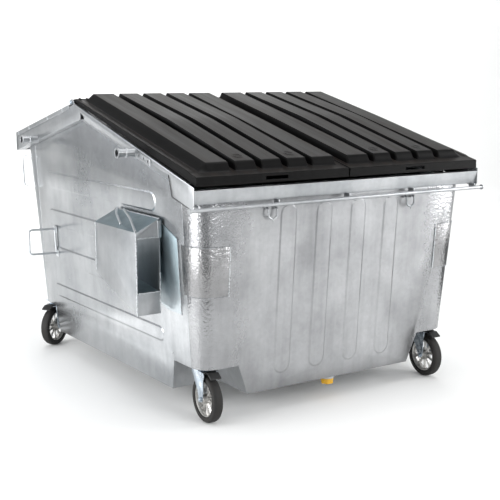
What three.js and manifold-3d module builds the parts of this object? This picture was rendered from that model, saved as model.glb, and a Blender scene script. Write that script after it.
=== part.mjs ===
// Front-loaded waste container: galvanised tub, two ribbed lids, fork pockets, four casters.
// Millimetres, +Z up, front wall faces -Y. Mirror plane of the tub is X = 0.
import * as THREE from "three";
import Module from "manifold-3d";

const wasm = await Module();
wasm.setup();
const M = wasm.Manifold;

// ---- driving dimensions ----
const GAP = 0.3;            // clearance left between separate pieces
const FIT = 0.1;            // radial running clearance of shafts in holes
const SHEET = 3;            // galvanised sheet thickness
const Y_SHIFT = 48.75;      // moves the finished part so its box is centred on Y
const RIM_HALF = 940;       // half width of rim, gables and roof
const BODY_TOP_HALF = RIM_HALF - 58; // half width of side walls at Z_REF_TOP
const BODY_LOW_HALF = RIM_HALF - 105.5;
const FRONT_TOP_Y = -1112;
const FRONT_LOW_Y = -1048;
const REAR_TOP_Y = 1051;
const REAR_LOW_Y = 987;
const Z_REF_TOP = 1127;
const Z_REF_LOW = 267;
const FLOOR_Z = 126;        // underside of the hopper floor
const CORNER_R = 95;        // vertical corner radius of the tub
const RIM_TOP_Z = 1220;
const RIM_LOW_Z = 1154;
const RIM_TOP_Y = -1168;
const RIM_LOW_Y = -1155;
const GABLE_SLOPE = 0.2698; // rise of the front gable edge toward the ridge
const GABLE_Z = 1236;       // gable edge height above the front rim
const ROOF_SLOPE = 0.2317;  // fall of the rear roof
const ROOF_REAR_Y = 1091;
const ROOF_REAR_Z = 1393;
const ROOF_FRONT_Y = 232;
const FASCIA_DROP = 114;    // depth of the roof side and rear skirts
const LID_HALF = RIM_HALF - 14;
const LID_FRONT_Y = -1168;
const LID_RIDGE_Y = 188;
const LID_FRONT_Z = 1284;
const LID_RIDGE_Z = 1623;
const LID_T = 5;
const LID_LIP = 45;         // depth of the front lip
const LID_LIP_RIDGE = 20;   // depth of the side skirt at the ridge
const RIB_GROOVE = 24;
const RIB_H = 38;
const RIB_CROWN = 16;
const RIB_SIDE = 9;
const VALLEY = 38;
const RIB_PITCH = (LID_HALF - VALLEY - 103) / 5;
const SPLIT = 4;            // half gap between the two lids
const HINGE_Y = 206;
const HINGE_Z = 1606;
const ROD_R = 8;
const KNUCKLE_R = 16;
const LUG_T = 6;
const POCKET_X = RIM_HALF + 90; // outer face of the fork pocket plate
const POCKET_WEB_X = BODY_TOP_HALF + 11;
const POCKET_MOUTH_Y = -744;
const POCKET_REAR_Y = -257;
const POCKET_TOP_Z = 975;
const POCKET_RIDGE_Z = 1040;
const POCKET_LOW_MOUTH_Z = 544;
const POCKET_LOW_REAR_Z = 711;
const MOUTH_LOW_Z = 659;
const MOUTH_TOP_Z = 945;
const POCKET_T = 5;
const STUB_X = RIM_HALF + 104;
const STUB_R = 21;
const STUB_FRONT = [-572, 1367];
const STUB_REAR = [737, 1368];
const RAIL_Y = -1174;
const RAIL_Z = 1127;
const RAIL_R = 9.5;
const RAIL_HALF = RIM_HALF + 31;
const BEAD_X = 228.6;       // pitch of the front wall beads
const WHEEL_R = 125;
const WHEEL_W = 55;
const RIM_R = 94;
const TRAIL = 55;           // distance from swivel axis to axle
const CASTER_X = RIM_HALF - 184;
const CASTER_FRONT_Y = -925;
const CASTER_REAR_Y = 925;
const SWING = TRAIL + WHEEL_R;          // reach of a wheel round its swivel axis
const DECK_Z = 2 * WHEEL_R + 40;        // underside of the raised corners that carry the casters
const DECK_IN_X_LOW = CASTER_X - SWING - 34; // inner edge of the raised corners at floor level
const DECK_IN_X_TOP = DECK_IN_X_LOW + 72;
const DECK_IN_Y_LOW = CASTER_REAR_Y - SWING - 10;
const DECK_IN_Y_TOP = DECK_IN_Y_LOW + 40;
const AXLE_R = 8;
const DRAIN = [0, -1000];

// ---- colours and finishes ----
const zinc = () => new THREE.MeshStandardMaterial({ color: 0xc3c7ca, roughness: 0.42, metalness: 0.9 });
const plated = () => new THREE.MeshStandardMaterial({ color: 0xb4bcc2, roughness: 0.3, metalness: 0.95 });
const cast = () => new THREE.MeshStandardMaterial({ color: 0xb9babc, roughness: 0.35, metalness: 0.95 });
const lidBlack = () => new THREE.MeshStandardMaterial({ color: 0x2b2927, roughness: 0.5, metalness: 0 });
const rubber = () => new THREE.MeshStandardMaterial({ color: 0x343434, roughness: 0.85, metalness: 0 });
const pedalBlack = () => new THREE.MeshStandardMaterial({ color: 0x1e1f21, roughness: 0.55, metalness: 0 });
const yellow = () => new THREE.MeshStandardMaterial({ color: 0xd9a514, roughness: 0.5, metalness: 0 });

const root = new THREE.Group();
root.name = "front_loaded_container";

// ---- solid helpers ----
function solidFrom(points, tris) {
  let vol = 0;
  for (const [a, b, c] of tris) {
    const p = points[a];
    const q = points[b];
    const r = points[c];
    vol += p[0] * (q[1] * r[2] - q[2] * r[1]) + p[1] * (q[2] * r[0] - q[0] * r[2]);
    vol += p[2] * (q[0] * r[1] - q[1] * r[0]);
  }
  const order = vol < 0 ? tris.map(([a, b, c]) => [a, c, b]) : tris;
  const mesh = new wasm.Mesh({
    numProp: 3,
    vertProperties: new Float32Array(points.flat()),
    triVerts: new Uint32Array(order.flat()),
  });
  return new M(mesh);
}

// closed skin through rings of equal length; flat ends, plane gives the two axes used to fill them
function loft(rings, plane = [0, 1]) {
  const n = rings[0].length;
  const points = rings.flat();
  const tris = [];
  for (let k = 0; k + 1 < rings.length; k++) {
    for (let i = 0; i < n; i++) {
      const j = (i + 1) % n;
      const a = k * n + i;
      const b = k * n + j;
      tris.push([a, b, b + n], [a, b + n, a + n]);
    }
  }
  const flat = rings[0].map((p) => new THREE.Vector2(p[plane[0]], p[plane[1]]));
  const ccw = THREE.ShapeUtils.area(flat) > 0;
  const first = THREE.ShapeUtils.triangulateShape(flat, []);
  const last = (rings.length - 1) * n;
  const flatEnd = rings[rings.length - 1].map((p) => new THREE.Vector2(p[plane[0]], p[plane[1]]));
  const end = THREE.ShapeUtils.triangulateShape(flatEnd, []);
  for (const [a, b, c] of first) {
    tris.push(orient(flat, a, b, c) === ccw ? [c, b, a] : [a, b, c]);
  }
  for (const [a, b, c] of end) {
    const same = orient(flatEnd, a, b, c) === ccw;
    tris.push(same ? [a + last, b + last, c + last] : [c + last, b + last, a + last]);
  }
  return solidFrom(points, tris);
}

function orient(flat, a, b, c) {
  const u = flat[b].clone().sub(flat[a]);
  const v = flat[c].clone().sub(flat[a]);
  return u.cross(v) > 0;
}

function box(x0, x1, y0, y1, z0, z1) {
  const size = [Math.abs(x1 - x0), Math.abs(y1 - y0), Math.abs(z1 - z0)];
  return M.cube(size).translate([Math.min(x0, x1), Math.min(y0, y1), Math.min(z0, z1)]);
}

function prismYZ(poly, x0, x1) {
  return loft([poly.map(([y, z]) => [x0, y, z]), poly.map(([y, z]) => [x1, y, z])], [1, 2]);
}

function prismXZ(poly, y0, y1) {
  return loft([poly.map(([x, z]) => [x, y0, z]), poly.map(([x, z]) => [x, y1, z])], [0, 2]);
}

function cylX(x0, x1, y, z, r, seg = 24) {
  return M.cylinder(Math.abs(x1 - x0), r, r, seg).rotate([0, 90, 0]).translate([Math.min(x0, x1), y, z]);
}

function cylZ(x, y, z0, z1, r, seg = 24) {
  return M.cylinder(z1 - z0, r, r, seg).translate([x, y, z0]);
}

// round bar along a list of points, corners eased by extra points
function bar(points, r, seg = 10, ease = 0) {
  let path = points.map((p) => new THREE.Vector3(...p));
  if (ease > 0) {
    const out = [path[0]];
    for (let i = 1; i + 1 < path.length; i++) {
      const a = path[i].clone().add(path[i - 1].clone().sub(path[i]).setLength(ease));
      const b = path[i].clone().add(path[i + 1].clone().sub(path[i]).setLength(ease));
      for (let k = 0; k <= 3; k++) {
        const t = k / 3;
        const p = a.clone().multiplyScalar((1 - t) * (1 - t));
        p.addScaledVector(path[i], 2 * t * (1 - t));
        p.addScaledVector(b, t * t);
        out.push(p);
      }
    }
    out.push(path[path.length - 1]);
    path = out;
  }
  const rings = [];
  let side = null;
  for (let i = 0; i < path.length; i++) {
    const before = path[Math.max(i - 1, 0)];
    const after = path[Math.min(i + 1, path.length - 1)];
    const t = after.clone().sub(before).normalize();
    if (!side) {
      const ref = Math.abs(t.z) < 0.9 ? new THREE.Vector3(0, 0, 1) : new THREE.Vector3(1, 0, 0);
      side = ref.clone().cross(t).normalize();
    }
    side.addScaledVector(t, -side.dot(t)).normalize();
    const up = t.clone().cross(side);
    const ring = [];
    for (let k = 0; k < seg; k++) {
      const a = (k / seg) * Math.PI * 2;
      const p = path[i].clone().addScaledVector(side, r * Math.cos(a)).addScaledVector(up, r * Math.sin(a));
      ring.push(p.toArray());
    }
    rings.push(ring);
  }
  const n = seg;
  const tris = [];
  for (let k = 0; k + 1 < rings.length; k++) {
    for (let i = 0; i < n; i++) {
      const j = (i + 1) % n;
      tris.push([k * n + i, k * n + j, (k + 1) * n + j], [k * n + i, (k + 1) * n + j, (k + 1) * n + i]);
    }
  }
  const last = (rings.length - 1) * n;
  for (let i = 1; i + 1 < n; i++) {
    tris.push([0, i + 1, i], [last, last + i, last + i + 1]);
  }
  return solidFrom(rings.flat(), tris);
}

function add(name, solid, material) {
  const mesh = solid.translate([0, Y_SHIFT, 0]).getMesh();
  const geometry = new THREE.BufferGeometry();
  geometry.setAttribute("position", new THREE.BufferAttribute(new Float32Array(mesh.vertProperties), 3));
  geometry.setIndex(new THREE.BufferAttribute(new Uint32Array(mesh.triVerts), 1));
  geometry.computeVertexNormals();
  const node = new THREE.Mesh(geometry, material);
  node.name = name;
  root.add(node);
}

const flipX = (solid) => solid.mirror([1, 0, 0]);

// ---- wall planes ----
const lerpZ = (low, top, z) => low + ((top - low) * (z - Z_REF_LOW)) / (Z_REF_TOP - Z_REF_LOW);
const sideX = (z) => lerpZ(BODY_LOW_HALF, BODY_TOP_HALF, z);
const frontY = (z) => lerpZ(FRONT_LOW_Y, FRONT_TOP_Y, z);
const rearY = (z) => lerpZ(REAR_LOW_Y, REAR_TOP_Y, z);
const gableZ = (y) => GABLE_Z + GABLE_SLOPE * (y - RIM_TOP_Y);
const roofZ = (y) => ROOF_REAR_Z + ROOF_SLOPE * (ROOF_REAR_Y - y);

function tubRing(z, inset, radius = CORNER_R) {
  const hx = sideX(z) - inset;
  const y0 = frontY(z) + inset;
  const y1 = rearY(z) - inset;
  const r = radius - inset;
  const ring = [];
  const steps = 6;
  const corners = [
    [hx - r, y1 - r, 0],
    [-hx + r, y1 - r, 1],
    [-hx + r, y0 + r, 2],
    [hx - r, y0 + r, 3],
  ];
  for (const [cx, cy, q] of corners) {
    for (let k = 0; k <= steps; k++) {
      const a = ((q + k / steps) * Math.PI) / 2;
      ring.push([cx + r * Math.cos(a), cy + r * Math.sin(a), z]);
    }
  }
  return ring;
}

function tub(inset, z0, z1) {
  return loft([tubRing(z0, inset), tubRing(z1, inset)]);
}

// block removed under each raised corner
function cornerBlock(grow) {
  const xl = DECK_IN_X_LOW - grow;
  const xt = DECK_IN_X_TOP - grow;
  const yl = DECK_IN_Y_LOW - grow;
  const yt = DECK_IN_Y_TOP - grow;
  const zl = FLOOR_Z - 20;
  const zt = DECK_Z + grow;
  const low = [[xl, yl, zl], [1200, yl, zl], [1200, 1400, zl], [xl, 1400, zl]];
  const top = [[xt, yt, zt], [1200, yt, zt], [1200, 1400, zt], [xt, 1400, zt]];
  const one = loft([low, top]);
  const left = flipX(one);
  const back = one.add(left);
  return back.add(back.mirror([0, 1, 0]));
}

// ---- tub walls and floor ----
const outer = tub(0, FLOOR_Z, 1620);
const inner = tub(SHEET, FLOOR_Z - 1, 1621);
const ring = outer.subtract(inner).subtract(cornerBlock(0));
const CUT_FRONT = -952;
const CUT_REAR = 899;
const frontPart = ring.intersect(box(-1200, 1200, -1300, CUT_FRONT, 0, RIM_LOW_Z - SHEET - GAP));
const rearTop = [
  [CUT_REAR + GAP, 0],
  [1300, 0],
  [1300, roofZ(1300) - 8],
  [CUT_REAR + GAP, roofZ(CUT_REAR) - 8],
];
const rearHold = ring.intersect(prismYZ(rearTop, -1200, 1200));
const rearSide = [
  [CUT_REAR - 1, roofZ(CUT_REAR) - FASCIA_DROP - GAP],
  [1300, roofZ(1300) - FASCIA_DROP - GAP],
  [1300, 1700],
  [CUT_REAR - 1, 1700],
];
const rearTrim = prismYZ(rearSide, 780, 1200);
const rearPart = rearHold.subtract(rearTrim).subtract(flipX(rearTrim));

function bead(x0, x1, z0, z1, place, depth = 5, slope = 9) {
  const w = Math.min(x1 - x0, z1 - z0) / 2;
  const wide = x1 - x0 > z1 - z0;
  const outline = (r) => {
    const pts = [];
    for (let k = 0; k <= 6; k++) {
      const a = (k / 6) * Math.PI;
      const c = Math.cos(a) * r;
      const s = Math.sin(a) * r;
      pts.push(wide ? [x1 - w + s, (z0 + z1) / 2 - c] : [(x0 + x1) / 2 + c, z1 - w + s]);
    }
    for (let k = 0; k <= 6; k++) {
      const a = (k / 6) * Math.PI;
      const c = Math.cos(a) * r;
      const s = Math.sin(a) * r;
      pts.push(wide ? [x0 + w - s, (z0 + z1) / 2 + c] : [(x0 + x1) / 2 - c, z0 + w - s]);
    }
    return pts;
  };
  const levels = [[w, -1.5], [w, 0], [w - slope, depth]];
  const rings = levels.map(([r, d]) => outline(r).map(([a, z]) => place(a, z, d)));
  return loft(rings, wide ? [1, 2] : [0, 2]);
}

let front = frontPart;
for (let k = 0; k < 4; k++) {
  const x = (k - 1.5) * BEAD_X;
  front = front.add(bead(x - 53, x + 53, 205, 1118, (a, z, d) => [a, frontY(z) - d, z]));
}
add("front_wall", front, zinc());
add("rear_wall", rearPart, zinc());

const sideTop = [
  [CUT_FRONT + GAP, 0],
  [CUT_REAR, 0],
  [CUT_REAR, roofZ(CUT_REAR) - FASCIA_DROP - GAP],
  [131, roofZ(131) - FASCIA_DROP - GAP],
  [131, gableZ(131) - 88 - GAP],
  [CUT_FRONT + GAP, gableZ(CUT_FRONT) - 88 - GAP],
];
let sideR = ring.intersect(prismYZ(sideTop, 600, 1200));
const sideBeads = [[1062, 1168], [826, 932], [590, 696], [366, 450]];
for (const [z0, z1] of sideBeads) {
  sideR = sideR.add(bead(-686, 762, z0, z1, (a, z, d) => [sideX(z) + d, a, z]));
}
add("side_wall_left", flipX(sideR), zinc());
add("side_wall_right", sideR, zinc());

const floorOuter = tub(SHEET + GAP, FLOOR_Z, 400).subtract(cornerBlock(0));
const floorInner = tub(SHEET + GAP - 1, FLOOR_Z + SHEET, 500).subtract(cornerBlock(SHEET));
const floorRoom = floorOuter.subtract(floorInner);
add("floor_pan", floorRoom.intersect(box(-1200, 1200, -1300, 1300, 0, DECK_Z + SHEET)), zinc());

// ---- corner patches ----
const patchRoom = tub(-4, 600, 1000).subtract(tub(-GAP, 599, 1001));
const patch = patchRoom.intersect(box(692, 1200, -1300, -925, 671, 925));
add("corner_patch_left", flipX(patch), zinc());
add("corner_patch_right", patch, zinc());

// ---- front rim, gables and roof ----
const rimProfile = [
  [RIM_LOW_Y + 50, RIM_LOW_Z - SHEET],
  [RIM_LOW_Y, RIM_LOW_Z - SHEET],
  [RIM_TOP_Y, RIM_TOP_Z],
  [RIM_LOW_Y + 50, RIM_TOP_Z],
  [RIM_LOW_Y + 50, RIM_TOP_Z - SHEET],
  [RIM_TOP_Y + 4, RIM_TOP_Z - SHEET],
  [RIM_LOW_Y + 4, RIM_LOW_Z],
  [RIM_LOW_Y + 50, RIM_LOW_Z],
];
add("front_rim", prismYZ(rimProfile, -(RIM_HALF - SHEET - GAP), RIM_HALF - SHEET - GAP), zinc());

function bandRing(y) {
  const z = gableZ(y);
  const xw = sideX(z - 88);
  return [
    [900, y, z],
    [RIM_HALF, y, z],
    [RIM_HALF, y, z - 22],
    [xw, y, z - 88],
    [xw - SHEET, y, z - 88],
    [RIM_HALF - SHEET, y, z - 22],
    [RIM_HALF - SHEET, y, z - SHEET],
    [900, y, z - SHEET],
  ];
}

function fasciaRing(y) {
  const top = Math.min(roofZ(y) - 4, gableZ(y));
  const low = roofZ(y) - FASCIA_DROP;
  const xw = sideX(low) - SHEET;
  return [
    [900, y, top],
    [RIM_HALF, y, top],
    [RIM_HALF, y, low],
    [xw, y, low],
    [xw, y, low + SHEET],
    [RIM_HALF - SHEET, y, low + SHEET],
    [RIM_HALF - SHEET, y, top - SHEET],
    [900, y, top - SHEET],
  ];
}

const PEAK_Y = 166;
const band = loft([bandRing(RIM_LOW_Y + 50 + GAP), bandRing(130)], [0, 2]);
const fascia = loft([fasciaRing(90), fasciaRing(PEAK_Y), fasciaRing(ROOF_REAR_Y - SHEET - 2)], [0, 2]);
const gussetOutline = [
  [RIM_TOP_Y, gableZ(RIM_TOP_Y)],
  [RIM_TOP_Y, RIM_LOW_Z],
  [-1150, RIM_LOW_Z - 27],
  [-960, 1173],
  [-926, gableZ(-926) - 20],
  [-926, gableZ(-926)],
];
const gusset = prismYZ(gussetOutline, RIM_HALF - SHEET, RIM_HALF);
const gableR = band.add(fascia).add(gusset);
add("gable_left", flipX(gableR), zinc());
add("gable_right", gableR, zinc());

const roofLip = 26;
const ROOF_HALF = RIM_HALF + GAP + SHEET;
const roofTop = [
  [ROOF_FRONT_Y, roofZ(ROOF_FRONT_Y)],
  [ROOF_REAR_Y, ROOF_REAR_Z],
  [ROOF_REAR_Y, ROOF_REAR_Z - roofLip],
  [ROOF_FRONT_Y, roofZ(ROOF_FRONT_Y) - roofLip],
];
const roofRoom = [
  [ROOF_FRONT_Y - 1, roofZ(ROOF_FRONT_Y - 1) - SHEET],
  [ROOF_REAR_Y - SHEET, roofZ(ROOF_REAR_Y - SHEET) - SHEET],
  [ROOF_REAR_Y - SHEET, 1200],
  [ROOF_FRONT_Y - 1, 1200],
];
let roof = prismYZ(roofTop, -ROOF_HALF, ROOF_HALF);
roof = roof.add(box(-ROOF_HALF, ROOF_HALF, ROOF_REAR_Y - 6, ROOF_REAR_Y, ROOF_REAR_Z - FASCIA_DROP, ROOF_REAR_Z - 10));
roof = roof.subtract(prismYZ(roofRoom, -(ROOF_HALF - SHEET), ROOF_HALF - SHEET));
for (const x of [-620, -310, 0, 310, 620]) {
  const y0 = ROOF_FRONT_Y + 90;
  const y1 = ROOF_REAR_Y - 70;
  const lift = (y, d) => roofZ(y) + d;
  const low = [[x - 16, y0, lift(y0, -1)], [x + 16, y0, lift(y0, -1)], [x + 16, y1, lift(y1, -1)], [x - 16, y1, lift(y1, -1)]];
  const top = [[x - 9, y0 + 12, lift(y0 + 12, 7)], [x + 9, y0 + 12, lift(y0 + 12, 7)]];
  top.push([x + 9, y1 - 12, lift(y1 - 12, 7)], [x - 9, y1 - 12, lift(y1 - 12, 7)]);
  roof = roof.add(loft([low, top]));
}
add("rear_roof", roof, zinc());

// ---- hinge lugs and rod ----
function lug(x0, x1) {
  const outline = [
    [160, gableZ(160) + GAP],
    [166, gableZ(166) + GAP],
    [230, roofZ(230) - 4 + GAP],
    [HINGE_Y + 17, HINGE_Z + 2],
    [HINGE_Y + 12, HINGE_Z + 12],
    [HINGE_Y, HINGE_Z + 17],
    [HINGE_Y - 12, HINGE_Z + 12],
    [HINGE_Y - 17, HINGE_Z + 2],
  ];
  return prismYZ(outline, x0, x1).subtract(cylX(x0 - 1, x1 + 1, HINGE_Y, HINGE_Z, ROD_R + FIT));
}
const lugR = lug(RIM_HALF - LUG_T - 1, RIM_HALF - 1);
add("hinge_lug_left", flipX(lugR), zinc());
add("hinge_lug_right", lugR, zinc());
const beamOutline = [
  [160, gableZ(160) - SHEET - 1 - GAP],
  [160, gableZ(160) - 60],
  [164, gableZ(160) - 60],
  [164, roofZ(228) - 12],
  [228, roofZ(228) - 12],
  [228, roofZ(228) - 5],
];
const beam = prismYZ(beamOutline, -(899 - GAP), 899 - GAP);
const midLug = [
  [166, gableZ(160) - 14],
  [226, roofZ(226) - 6],
  [HINGE_Y + 15, HINGE_Z + 2],
  [HINGE_Y + 11, HINGE_Z + 11],
  [HINGE_Y, HINGE_Z + 15],
  [HINGE_Y - 11, HINGE_Z + 11],
  [HINGE_Y - 15, HINGE_Z + 2],
];
const mid = prismYZ(midLug, -LUG_T / 2, LUG_T / 2);
const midHole = cylX(-10, 10, HINGE_Y, HINGE_Z, ROD_R + FIT);
add("ridge_beam", beam.add(mid).subtract(midHole), zinc());
add("hinge_rod", cylX(-(RIM_HALF + 8), RIM_HALF + 8, HINGE_Y, HINGE_Z, ROD_R, 20), plated());

// ---- lids ----
const slope = (LID_RIDGE_Z - LID_FRONT_Z) / (LID_RIDGE_Y - LID_FRONT_Y);
const lidZ = (y) => LID_FRONT_Z + slope * (y - LID_FRONT_Y);
function ribStations() {
  const list = [[SPLIT, 0, 0], [VALLEY, 0, 0]];
  for (let k = 0; k < 5; k++) {
    const a = VALLEY + k * RIB_PITCH + (k ? RIB_GROOVE : 0);
    const b = VALLEY + (k + 1) * RIB_PITCH;
    const crown = k === 0 || k === 4 ? 0.3 : 1;
    const out = k === 4 ? 46 : RIB_SIDE;
    list.push([a + 0.01, 0, 0], [a + RIB_SIDE, 1, crown], [b - (k === 4 ? 0 : RIB_SIDE), 1, crown]);
    list.push([b + (k === 4 ? out : 0), 0, 0]);
  }
  list.push([LID_HALF, 0.12, 0]);
  return list;
}

function lidSlab(drop) {
  const xs = ribStations();
  const ys = [LID_FRONT_Y, LID_FRONT_Y + 58, LID_FRONT_Y + 84, LID_FRONT_Y + 420, -430, 40, LID_RIDGE_Y - 30, LID_RIDGE_Y];
  const height = (y, rise, crown) => {
    if (y < LID_FRONT_Y + 60) return 0;
    const t = y < -430 ? (y - LID_FRONT_Y) / (-430 - LID_FRONT_Y) : (LID_RIDGE_Y - y) / (LID_RIDGE_Y + 430);
    const fade = y > LID_RIDGE_Y - 1 ? 0 : 1;
    return fade * (RIB_H * rise + RIB_CROWN * crown * t);
  };
  const points = [];
  const nx = xs.length;
  for (const sign of [0, 1]) {
    for (const y of ys) {
      for (const [x, rise, crown] of xs) {
        points.push([x, y, lidZ(y) + height(y, rise, crown) - drop - sign * LID_T]);
      }
    }
  }
  const tris = [];
  const half = nx * ys.length;
  const quad = (a, b, c, d) => tris.push([a, b, c], [a, c, d]);
  for (let j = 0; j + 1 < ys.length; j++) {
    for (let i = 0; i + 1 < nx; i++) {
      const a = j * nx + i;
      quad(a, a + 1, a + nx + 1, a + nx);
      quad(half + a, half + a + nx, half + a + nx + 1, half + a + 1);
    }
    const l = j * nx;
    const r = j * nx + nx - 1;
    quad(l, l + nx, half + l + nx, half + l);
    quad(r, half + r, half + r + nx, r + nx);
  }
  for (let i = 0; i + 1 < nx; i++) {
    quad(i, half + i, half + i + 1, i + 1);
    const b = (ys.length - 1) * nx + i;
    quad(b, b + 1, half + b + 1, half + b);
  }
  return solidFrom(points, tris);
}

function lid() {
  let s = lidSlab(0);
  const lipTop = lidZ(LID_FRONT_Y) - 2;
  const lipBack = LID_FRONT_Y + LID_T;
  s = s.add(box(SPLIT, LID_HALF, LID_FRONT_Y, lipBack, LID_FRONT_Z - LID_LIP, lipTop));
  const side = [
    [LID_FRONT_Y, LID_FRONT_Z - 1],
    [LID_FRONT_Y, LID_FRONT_Z - LID_LIP],
    [LID_RIDGE_Y - 22, lidZ(LID_RIDGE_Y - 22) - LID_LIP_RIDGE],
    [LID_RIDGE_Y, lidZ(LID_RIDGE_Y) - LID_T - 1],
    [LID_RIDGE_Y, lidZ(LID_RIDGE_Y) - 1],
  ];
  s = s.add(prismYZ(side, LID_HALF - LID_T, LID_HALF));
  const near = side.map(([y, z], i) => (i === 1 ? [y, z] : i === 2 ? [y, z + 4] : [y, z]));
  s = s.add(prismYZ(near, SPLIT, SPLIT + LID_T));
  const knuckles = [[75, 154], [422, 518], [637, 697], [LID_HALF - 92, LID_HALF - 2]];
  for (const [x0, x1] of knuckles) {
    s = s.add(cylX(x0, x1, HINGE_Y, HINGE_Z, KNUCKLE_R, 20));
    const bridge = [
      [LID_RIDGE_Y - 2, LID_RIDGE_Z + 1],
      [LID_RIDGE_Y - 2, LID_RIDGE_Z - 8],
      [HINGE_Y - 12, HINGE_Z],
      [HINGE_Y, HINGE_Z + KNUCKLE_R],
    ];
    s = s.add(prismYZ(bridge, x0, x1));
  }
  s = s.subtract(cylX(-5, LID_HALF + 74, HINGE_Y, HINGE_Z, ROD_R + FIT));
  const slot = box(390, 530, LID_FRONT_Y - 5, lipBack + 5, LID_FRONT_Z - 32, LID_FRONT_Z - 14);
  return s.subtract(slot);
}
const lidR = lid();
add("lid_left", flipX(lidR), lidBlack());
add("lid_right", lidR, lidBlack());

// ---- fork pockets ----
function pocket() {
  const plate = [
    [POCKET_MOUTH_Y, POCKET_LOW_MOUTH_Z],
    [POCKET_REAR_Y, POCKET_LOW_REAR_Z],
    [POCKET_REAR_Y, POCKET_TOP_Z],
    [POCKET_MOUTH_Y, POCKET_TOP_Z],
  ];
  let s = prismYZ(plate, POCKET_X - POCKET_T, POCKET_X);
  const web = [
    [POCKET_MOUTH_Y, POCKET_LOW_MOUTH_Z],
    [POCKET_REAR_Y, POCKET_LOW_REAR_Z],
    [POCKET_REAR_Y + 20, POCKET_RIDGE_Z],
    [POCKET_MOUTH_Y, POCKET_RIDGE_Z],
  ];
  s = s.add(prismYZ(web, POCKET_WEB_X, POCKET_WEB_X + POCKET_T));
  const x0 = POCKET_WEB_X;
  const x1 = POCKET_X;
  const zr = POCKET_RIDGE_Z;
  const zt = POCKET_TOP_Z;
  const roofSide = (y) => [[x0, y, zr - 6], [x0, y, zr], [x1, y, zt], [x1, y, zt - 6]];
  s = s.add(loft([roofSide(POCKET_MOUTH_Y), roofSide(POCKET_REAR_Y)], [0, 2]));
  const gable = [[x0, MOUTH_TOP_Z], [x1, MOUTH_TOP_Z], [x1, zt], [x0, zr]];
  s = s.add(prismXZ(gable, POCKET_MOUTH_Y, POCKET_MOUTH_Y + POCKET_T));
  s = s.add(box(x0, x1, POCKET_MOUTH_Y, POCKET_MOUTH_Y + POCKET_T, POCKET_LOW_MOUTH_Z, MOUTH_LOW_Z));
  const sill = [
    [POCKET_MOUTH_Y, MOUTH_LOW_Z - POCKET_T],
    [POCKET_REAR_Y, POCKET_LOW_REAR_Z + 4],
    [POCKET_REAR_Y, POCKET_LOW_REAR_Z + 9],
    [POCKET_MOUTH_Y, MOUTH_LOW_Z],
  ];
  s = s.add(prismYZ(sill, x0, x1));
  s = s.add(box(x0 - 8, x0 + 14, POCKET_MOUTH_Y - 4, POCKET_MOUTH_Y + 3, MOUTH_TOP_Z - 4, zr - 8));
  const onRoof = (f, y) => [x0 + f * (x1 - x0), y, zr + f * (zt - zr) + 4];
  s = s.add(bar([onRoof(0.02, -262), onRoof(0.3, -330), onRoof(0.8, -520)], 5, 8, 20));
  s = s.add(bar([onRoof(0.02, -345), onRoof(0.4, -520), onRoof(0.99, -736)], 5, 8, 20));
  for (const [z0, z1] of [[704, 818], [940, 1004]]) {
    for (const y of [-360, -624]) {
      const at = (z, d) => [sideX(z) + d, z];
      s = s.add(prismXZ([at(z0, 4 + GAP), [x0 + 1, z0], [x0 + 1, z1], at(z1, 4 + GAP)], y, y + 6));
    }
  }
  return s;
}

// mounting plate between the side wall and the pocket, reaching forward as a lead-in
function liner() {
  const outline = [
    [-890, 560],
    [POCKET_MOUTH_Y, 560],
    [-300, 690],
    [-300, 1010],
    [POCKET_MOUTH_Y, 1010],
    [-890, 950],
  ];
  const slab = (d) => [...outline.map(([y, z]) => [sideX(z) + d, y, z])];
  return loft([slab(GAP), slab(4)], [1, 2]);
}
let linerR = liner();
for (const [z0, z1] of sideBeads) {
  linerR = linerR.subtract(bead(-686 - 1, 762, z0 - 1, z1 + 1, (a, z, d) => [sideX(z) + d + GAP, a, z], 6, 8));
}
linerR = largest(linerR);
const pocketR = largest(pocket());

function largest(solid) {
  const parts = solid.decompose();
  parts.sort((a, b) => b.volume() - a.volume());
  return parts[0];
}
add("pocket_liner_left", flipX(linerR), zinc());
add("pocket_liner_right", linerR, zinc());
add("fork_pocket_left", flipX(pocketR), zinc());
add("fork_pocket_right", pocketR, zinc());

// ---- lifting stubs and gable straps ----
function stub([y, z]) {
  const x0 = RIM_HALF + GAP;
  let s = cylX(x0, STUB_X, y, z, STUB_R, 20);
  s = s.add(cylX(STUB_X - 7, STUB_X, y, z, STUB_R + 7, 20));
  s = s.add(cylX(x0 + 46, x0 + 54, y, z, STUB_R + 5, 20));
  return s.subtract(cylX(x0 - 1, STUB_X + 1, y, z, STUB_R - 3.5, 20));
}
const stubF = stub(STUB_FRONT);
const stubB = stub(STUB_REAR);
add("stub_front_left", flipX(stubF), zinc());
add("stub_front_right", stubF, zinc());
add("stub_rear_left", flipX(stubB), zinc());
add("stub_rear_right", stubB, zinc());

function strap() {
  const x0 = RIM_HALF + GAP;
  const y0 = -690;
  const y1 = -604;
  const mid = (y) => 1367 + 0.27 * (y + 604) - 4;
  const outline = [[y0 - 60, mid(y0 - 60) - 17], [y1, mid(y1) - 17], [y1, mid(y1) + 17], [y0 - 60, mid(y0 - 60) + 17]];
  let s = prismYZ(outline, x0, x0 + 6);
  for (const y of [-722, -676, -630]) {
    s = s.subtract(cylX(x0 - 1, x0 + 7, y, mid(y), 7, 16));
  }
  return s;
}
const strapR = strap();
add("strap_left", flipX(strapR), zinc());
add("strap_right", strapR, zinc());

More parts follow.
